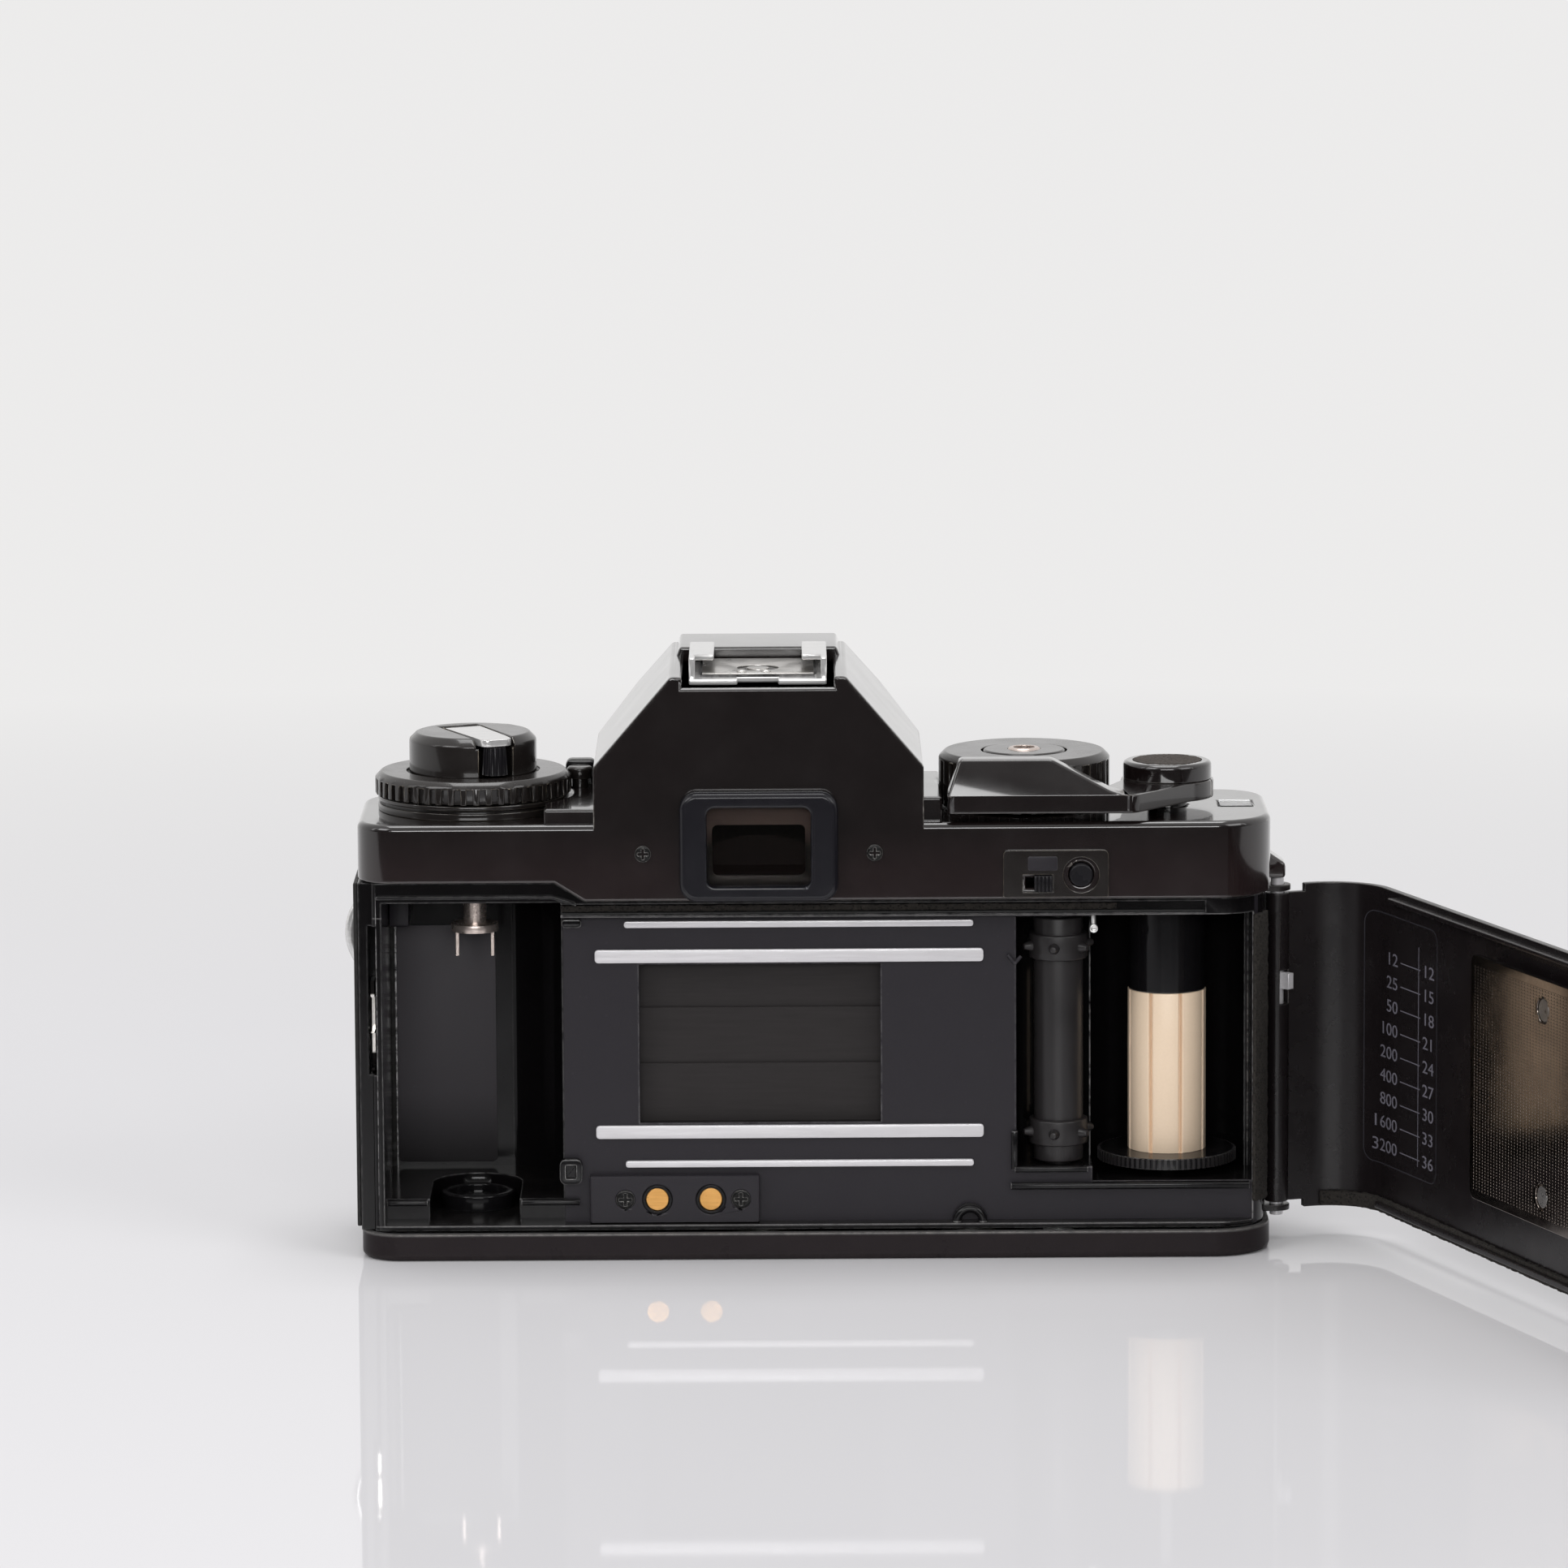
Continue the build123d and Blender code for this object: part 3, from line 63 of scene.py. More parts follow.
def takeUp(piece):
    clearSelection()
    piece.select_set(True)
    bpy.context.view_layer.objects.active = piece


# put an object's place, turn and size into its mesh
def freeze():
    bpy.ops.object.transform_apply(location=True, rotation=True, scale=True)


def startEdit(piece, kind="FACE"):
    takeUp(piece)
    bpy.ops.object.mode_set(mode="EDIT")
    bpy.ops.mesh.select_mode(type=kind)
    bpy.ops.mesh.select_all(action="SELECT")


def endEdit():
    bpy.ops.object.mode_set(mode="OBJECT")


def pickParts(piece, kind, test):
    bpy.ops.mesh.select_all(action="DESELECT")
    for part in getattr(bmesh.from_edit_mesh(piece.data), kind):
        if test(part):
            part.select_set(True)
    bmesh.update_edit_mesh(piece.data)


# faces whose centre (in mm) and normal pass a test
def pickFaces(piece, test):
    pickParts(piece, "faces", lambda face: test(face.calc_center_median() / mm, face.normal))


# edges whose two ends (in mm) pass a test
def pickEdges(piece, test):
    pickParts(piece, "edges", lambda edge: test(*(vert.co / mm for vert in edge.verts)))


# start on the faces that look one way
def editFacing(piece, way, limit=0.9):
    startEdit(piece)
    pickFaces(piece, lambda centre, normal: normal.dot(way) > limit)


def insetFaces(width, depth=0.0, each=False):
    bpy.ops.mesh.inset(thickness=width * mm, depth=depth * mm, use_individual=each)


def pushFaces(x, y, z):
    bpy.ops.mesh.extrude_region_move(TRANSFORM_OT_translate={"value": (x * mm, y * mm, z * mm)})


def useModifier(piece, kind, **settings):
    takeUp(piece)
    modifier = piece.modifiers.new(kind.lower(), kind)
    for key, value in settings.items():
        setattr(modifier, key, value)
    bpy.ops.object.modifier_apply(modifier=modifier.name)


def cutAway(piece, tool):
    useModifier(piece, "BOOLEAN", operation="DIFFERENCE", object=tool, solver="EXACT")
    bpy.data.objects.remove(tool)


def softenEdges(piece, width, segments=2, angle=35):
    useModifier(piece, "BEVEL", width=width * mm, segments=segments, limit_method="ANGLE",
                angle_limit=math.radians(angle), miter_outer="MITER_ARC")


# break only the outward edges that have room for it, so that tight corners stay as they are
def breakOutward(piece, width, angle=35, room=1.3):
    shape = bmesh.new()
    shape.from_mesh(piece.data)
    weight = shape.edges.layers.float.new("bevel_weight_edge")
    sharp = {edge for edge in shape.edges
             if len(edge.link_faces) == 2 and edge.is_convex and edge.calc_face_angle() > math.radians(angle)}
    tight = {vert for edge in shape.edges
             if edge not in sharp and edge.calc_length() < room * width * mm for vert in edge.verts}
    for edge in sharp:
        edge[weight] = 0.0 if tight.intersection(edge.verts) else 1.0
    shape.to_mesh(piece.data)
    shape.free()
    useModifier(piece, "BEVEL", width=width * mm, segments=2, limit_method="WEIGHT", use_clamp_overlap=False)


# a node's box and its middle, in mm
def boxOf(nodeName):
    low, high = (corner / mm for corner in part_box(nodeName))
    return low, high, (low + high) / 2


def addBlock(low, high):
    clearSelection()
    middle = [(a + b) / 2 * mm for a, b in zip(low, high)]
    bpy.ops.mesh.primitive_cube_add(size=1, location=middle)
    piece = bpy.context.object
    piece.scale = [(b - a) * mm for a, b in zip(low, high)]
    freeze()
    return piece


# a block with its edges along one axis rounded
def roundBlock(low, high, axis, radius, edge):
    piece = addBlock(low, high)
    startEdit(piece, "EDGE")
    pickEdges(piece, lambda a, b: abs((a - b)[axis]) > 0.99 * (a - b).length)
    bpy.ops.mesh.bevel(offset=radius * mm, segments=5, affect="EDGES")
    endEdit()
    softenEdges(piece, edge)
    return piece


# an upright sheet that looks to the rear, from its lower to its upper corner
def addSheet(low, high, face, across=1, up=1):
    clearSelection()
    middle = ((low[0] + high[0]) / 2 * mm, face * mm, (low[1] + high[1]) / 2 * mm)
    bpy.ops.mesh.primitive_grid_add(x_subdivisions=across, y_subdivisions=up, size=1, location=middle,
                                    rotation=(-math.pi / 2, 0, 0))
    piece = bpy.context.object
    piece.scale = ((high[0] - low[0]) * mm, (high[1] - low[1]) * mm, 1)
    freeze()
    return piece


# round bar from one point to another
def addRod(start, end, radius, sides=32):
    clearSelection()
    start, end = Vector(start) * mm, Vector(end) * mm
    turn = (end - start).to_track_quat("Z", "Y").to_euler()
    bpy.ops.mesh.primitive_cylinder_add(vertices=sides, radius=radius * mm, depth=(end - start).length,
                                        location=(start + end) / 2, rotation=turn)
    freeze()
    return bpy.context.object


def addPost(axis, low, high, radius, sides):
    return addRod((axis.x, axis.y, low), (axis.x, axis.y, high), radius, sides)


def addCone(middle, wide, narrow, length, sides, turn=(0, 0, 0)):
    clearSelection()
    bpy.ops.mesh.primitive_cone_add(vertices=sides, radius1=wide * mm, radius2=narrow * mm, depth=length * mm,
                                    location=Vector(middle) * mm, rotation=turn)
    freeze()
    return bpy.context.object


def angleRound(axis, point):
    return math.atan2(point.y - axis.y, point.x - axis.x)


# sink and raise rings in one end of a piece: each step is an inset and a push outwards
def dishEnd(piece, way, steps, edge, segments=2):
    editFacing(piece, way)
    for width, push in steps:
        insetFaces(width)
        pushFaces(*(way * push))
    endEdit()
    softenEdges(piece, edge, segments)
    return piece


def joinPieces(pieces):
    clearSelection()
    for piece in pieces:
        piece.select_set(True)
    bpy.context.view_layer.objects.active = pieces[0]
    if len(pieces) > 1:
        bpy.ops.object.join()
    return bpy.context.object


# finish a piece: its look and its body
def settle(piece, name, body, finish, smooth=32):
    takeUp(piece)
    freeze()
    piece.name = piece.data.name = name
    piece.data.materials.clear()
    piece.data.materials.append(finishes[finish])
    bpy.ops.object.shade_smooth_by_angle(angle=math.radians(smooth))
    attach(piece, body)
    return piece


# shader nodes
def addNode(tree, kind, **settings):
    node = tree.nodes.new("ShaderNode" + kind)
    for key, value in settings.items():
        setattr(node, key, value)
    return node


def feed(tree, socket, value):
    if isinstance(value, bpy.types.NodeSocket):
        tree.links.new(value, socket)
    else:
        socket.default_value = value


def work(tree, operation, first, second=0.0, clamp=False):
    node = addNode(tree, "Math", operation=operation, use_clamp=clamp)
    feed(tree, node.inputs[0], first)
    feed(tree, node.inputs[1], second)
    return node.outputs[0]


def times(tree, first, second, clamp=False):
    return work(tree, "MULTIPLY", first, second, clamp)


def stretch(tree, value, fromLow, fromHigh, toLow=0.0, toHigh=1.0):
    node = addNode(tree, "MapRange", clamp=True)
    for socket, number in zip(node.inputs, (value, fromLow, fromHigh, toLow, toHigh)):
        feed(tree, socket, number)
    return node.outputs[0]


def mixColour(tree, share, first, second):
    node = addNode(tree, "Mix", data_type="RGBA")
    feed(tree, node.inputs[0], share)
    for socket, colour in ((node.inputs[6], first), (node.inputs[7], second)):
        feed(tree, socket, colour if isinstance(colour, bpy.types.NodeSocket) else (*colour, 1.0))
    return node.outputs[2]


def mixValue(tree, share, first, second):
    node = addNode(tree, "Mix", data_type="FLOAT")
    for index, value in ((0, share), (2, first), (3, second)):
        feed(tree, node.inputs[index], value)
    return node.outputs[0]


def mixShaders(tree, share, first, second):
    node = addNode(tree, "MixShader")
    for socket, value in zip(node.inputs, (share, first, second)):
        feed(tree, socket, value)
    return node.outputs[0]


def noise(tree, place, scale, detail=3.0, rough=0.55):
    node = addNode(tree, "TexNoise")
    for label, value in (("Vector", place), ("Scale", scale), ("Detail", detail), ("Roughness", rough)):
        feed(tree, node.inputs[label], value)
    return node.outputs[0]


def cells(tree, place, scale, feature="F1"):
    node = addNode(tree, "TexVoronoi", feature=feature)
    feed(tree, node.inputs["Vector"], place)
    feed(tree, node.inputs["Scale"], scale)
    return node.outputs["Distance"]


def objectPlace(tree):
    return addNode(tree, "TexCoord").outputs["Object"]


def splitAxes(tree, vector):
    node = addNode(tree, "SeparateXYZ")
    tree.links.new(vector, node.inputs[0])
    return node.outputs


def newGroup(name, inputs, outputs):
    group = bpy.data.node_groups.new(name, "ShaderNodeTree")
    for label, value in inputs.items():
        socket = group.interface.new_socket(label, in_out="INPUT", socket_type="NodeSocketFloat")
        socket.default_value = value
    for label in outputs:
        group.interface.new_socket(label, in_out="OUTPUT", socket_type="NodeSocketFloat")
    entry = group.nodes.new("NodeGroupInput")
    leave = group.nodes.new("NodeGroupOutput")
    return group, entry.outputs, leave


def sendOut(group, leave, **values):
    for label, value in values.items():
        group.links.new(value, leave.inputs[label])


grainOutputs = ["Tint", "Height", "Smudge"]


# satin enamel and mouldings: fine orange peel, broad smudges and stray specks
def makeEnamelSpeckle():
    group, ports, leave = newGroup("enamelSpeckle", {"Scale": 4000.0, "Specks": 0.3}, grainOutputs)
    place, scale = objectPlace(group), ports["Scale"]
    fine = noise(group, place, scale, 2.0)
    broad = noise(group, place, times(group, scale, 0.03), 5.0, 0.6)
    spot = stretch(group, cells(group, place, times(group, scale, 0.16)), 0.16, 0.05)
    rare = stretch(group, noise(group, place, times(group, scale, 0.07), 1.0), 0.58, 0.64)
    speck = times(group, times(group, spot, rare), ports["Specks"])
    mixed = work(group, "ADD", times(group, fine, 0.45), times(group, broad, 0.45))
    sendOut(group, leave, Tint=work(group, "ADD", mixed, speck, True), Height=fine, Smudge=broad)
    return group


# pebbled leather cloth
def makeClothPebble():
    group, ports, leave = newGroup("clothPebble", {"Scale": 1100.0, "Specks": 0.0}, grainOutputs)
    place, scale = objectPlace(group), ports["Scale"]
    pebble = stretch(group, cells(group, place, scale, "SMOOTH_F1"), 0.1, 0.75, 1.0, 0.0)
    fine = noise(group, place, times(group, scale, 4.0), 3.0)
    broad = noise(group, place, times(group, scale, 0.05), 4.0)
    height = work(group, "ADD", pebble, times(group, fine, 0.25))
    sendOut(group, leave, Tint=times(group, pebble, fine, True), Height=height, Smudge=broad)
    return group


# drawn or turned metal: fine lines, haze and small pits
def makeMetalDrawn():
    group, ports, leave = newGroup("metalDrawn", {"Scale": 2500.0, "Specks": 0.2}, grainOutputs)
    place, scale = objectPlace(group), ports["Scale"]
    along = addNode(group, "Mapping")
    along.inputs["Scale"].default_value = (0.06, 1.0, 1.0)
    group.links.new(place, along.inputs["Vector"])
    line = noise(group, along.outputs["Vector"], scale, 3.0)
    haze = noise(group, place, times(group, scale, 0.08), 5.0, 0.65)
    pit = stretch(group, cells(group, place, times(group, scale, 0.3)), 0.12, 0.04)
    tint = work(group, "SUBTRACT", line, times(group, pit, ports["Specks"]), True)
    sendOut(group, leave, Tint=tint, Height=line, Smudge=haze)
    return group


# old foam that has gone to crumbs
def makeFoamCrumb():
    group, ports, leave = newGroup("foamCrumb", {"Scale": 1400.0, "Specks": 0.5}, grainOutputs)
    place, scale = objectPlace(group), ports["Scale"]
    lump = noise(group, place, scale, 6.0, 0.7)
    hole = stretch(group, cells(group, place, times(group, scale, 1.4)), 0.05, 0.45)
    bright = stretch(group, noise(group, place, times(group, scale, 2.2), 2.0), 0.6, 0.72)
    crumb = times(group, lump, hole)
    tint = work(group, "ADD", crumb, times(group, bright, ports["Specks"]), True)
    sendOut(group, leave, Tint=tint, Height=crumb, Smudge=lump)
    return group


# outer edges for wear and painted edge highlights, broken up so that the line comes and goes
def makeEdgeRub():
    group, ports, leave = newGroup("edgeWearAndGlint", {"Width": 0.0003, "Break": 700.0}, ["Mask"])
    hidden = addNode(group, "AmbientOcclusion", inside=True, only_local=True, samples=8)
    group.links.new(ports["Width"], hidden.inputs["Distance"])
    edge = stretch(group, hidden.outputs["AO"], 0.9, 0.62)
    broken = stretch(group, noise(group, objectPlace(group), ports["Break"], 6.0, 0.65), 0.34, 0.56)
    sendOut(group, leave, Mask=times(group, edge, broken, True))
    return group


# dust that lies on what faces up
def makeDustFall():
    group, ports, leave = newGroup("dustFall", {"Scale": 2600.0, "Level": 0.5}, ["Mask"])
    place, scale = objectPlace(group), ports["Scale"]
    facing = splitAxes(group, addNode(group, "NewGeometry").outputs["Normal"])
    lying = stretch(group, facing["Z"], 0.35, 0.95, 0.06, 1.0)
    film = stretch(group, noise(group, place, times(group, scale, 0.04), 5.0, 0.6), 0.35, 0.75, 0.0, 0.35)
    grit = stretch(group, noise(group, place, scale, 2.0), 0.66, 0.74)
    settled = times(group, work(group, "ADD", film, grit, True), lying)
    sendOut(group, leave, Mask=times(group, settled, ports["Level"], True))
    return group


grains = {"speckle": makeEnamelSpeckle(), "cloth": makeClothPebble(), "drawn": makeMetalDrawn(),
          "crumb": makeFoamCrumb()}
edgeWearAndGlint, dustFall = makeEdgeRub(), makeDustFall()


def placeGroup(tree, group, **values):
    node = addNode(tree, "Group", node_tree=group)
    for label, value in values.items():
        node.inputs[label].default_value = value
    return node.outputs


# a band of the object frame, in mm, with soft ends
def zoneMask(tree, axis, low, high, soft):
    along = splitAxes(tree, objectPlace(tree))[axis]
    rise = stretch(tree, along, (low - soft) * mm, (low + soft) * mm)
    fall = stretch(tree, along, (high - soft) * mm, (high + soft) * mm, 1.0, 0.0)
    return times(tree, rise, fall)


bareMetalAndGlint = (0.40, 0.37, 0.34)
greyDust = (0.22, 0.20, 0.185)
smudgeSpan = (0.3, 0.7)  # the part of a grain's smudges that moves the roughness
wearGlintLook = dict(rough=0.38, metal=0.8)
dustRough = 0.85


# one recipe for every opaque finish on the camera
def makeFinish(name, deep, pale, rough, grain="speckle", scale=5000, specks=0.3, metal=0.0, specular=0.4, coat=0.0,
               coatRough=0.06, bump=0.1, depth=0.02, zones=(), wearAndGlint=None, dust=0.0, dustTone=greyDust, lean=None):
    material = bpy.data.materials.new(name)
    material.use_nodes = True
    tree = material.node_tree
    tree.nodes.clear()
    shader = addNode(tree, "BsdfPrincipled")
    tree.links.new(shader.outputs["BSDF"], addNode(tree, "OutputMaterial").inputs["Surface"])
    grained = placeGroup(tree, grains[grain], Scale=scale, Specks=specks)
    tint, smudge = grained["Tint"], grained["Smudge"]
    colour = mixColour(tree, tint, deep, pale)
    roughness = stretch(tree, smudge, *smudgeSpan, *rough)
    for zone in zones:
        mask, *others = [zoneMask(tree, *band, zone.get("soft", 0.15)) for band in zone["where"]]
        for band in others:
            mask = times(tree, mask, band)
        colour = mixColour(tree, mask, colour, mixColour(tree, tint, zone["deep"], zone["pale"]))
        roughness = mixValue(tree, mask, roughness, stretch(tree, smudge, *smudgeSpan, *zone["rough"]))
    # a pale metallic band on the outer edges: partly real wear, partly painted highlight along the edges
    if wearAndGlint:
        wearGlintMask = placeGroup(tree, edgeWearAndGlint, Width=wearAndGlint["width"] * mm, Break=wearAndGlint.get("breaks", 700.0))
        share = times(tree, wearGlintMask["Mask"], wearAndGlint["amount"])
        colour = mixColour(tree, share, colour, wearAndGlint["tone"])
        roughness = mixValue(tree, share, roughness, wearGlintLook["rough"])
        metal = times(tree, share, wearGlintLook["metal"])
    if dust:
        lying = placeGroup(tree, dustFall, Level=dust)["Mask"]
        colour = mixColour(tree, lying, colour, dustTone)
        roughness = mixValue(tree, lying, roughness, dustRough)
    for label, value in (("Base Color", colour), ("Roughness", roughness), ("Metallic", metal),
                         ("Specular IOR Level", specular), ("Coat Weight", coat), ("Coat Roughness", coatRough)):
        feed(tree, shader.inputs[label], value)
    relief = addNode(tree, "Bump")
    relief.inputs["Strength"].default_value = bump
    relief.inputs["Distance"].default_value = depth * mm
    tree.links.new(grained["Height"], relief.inputs["Height"])
    if lean:  # a sprung plate that doesn't sit quite true
        turned = addNode(tree, "VectorTransform", vector_type="VECTOR", convert_from="OBJECT", convert_to="WORLD")
        turned.inputs[0].default_value = lean
        tipped = addNode(tree, "VectorMath", operation="ADD")
        tree.links.new(addNode(tree, "NewGeometry").outputs["Normal"], tipped.inputs[0])
        tree.links.new(turned.outputs[0], tipped.inputs[1])
        tree.links.new(tipped.outputs[0], relief.inputs["Normal"])
    tree.links.new(relief.outputs["Normal"], shader.inputs["Normal"])
    return material


smearLook = dict(scale=3000.0, specks=0.1, dull=0.94, span=(0.4, 0.8))


# clear glass: plain transmission, with a faint haze in the roughness
def makeGlass(name, tone, haze, bend=1.5):
    material = bpy.data.materials.new(name)
    material.use_nodes = True
    tree = material.node_tree
    shader = tree.nodes["Principled BSDF"]
    smear = placeGroup(tree, grains["speckle"], Scale=smearLook["scale"], Specks=smearLook["specks"])["Smudge"]
    dull = [part * smearLook["dull"] for part in tone]
    feed(tree, shader.inputs["Base Color"], mixColour(tree, smear, tone, dull))
    feed(tree, shader.inputs["Roughness"], stretch(tree, smear, *smearLook["span"], 0.0, haze))
    shader.inputs["Transmission Weight"].default_value = 1.0
    shader.inputs["IOR"].default_value = bend
    return material


# tones of single zones: film gate, black paint and painted shade, painted highlight lines along the rims, painted
# reflection of the table on the lower part of the covers
gateTone = dict(deep=(0.0118, 0.0102, 0.0132), pale=(0.0216, 0.0188, 0.0238), rough=(0.36, 0.46))
blackPaintAndShade = dict(deep=(0.006, 0.0055, 0.0055), pale=(0.011, 0.010, 0.010), rough=(0.3, 0.4))
rimPaintedHighlight = dict(deep=(0.03, 0.028, 0.028), pale=(0.13, 0.126, 0.126), rough=(0.16, 0.26))
deckPaintedReflection = dict(deep=(0.0095, 0.0056, 0.0058), pale=(0.0185, 0.0112, 0.0116), rough=(0.14, 0.22))

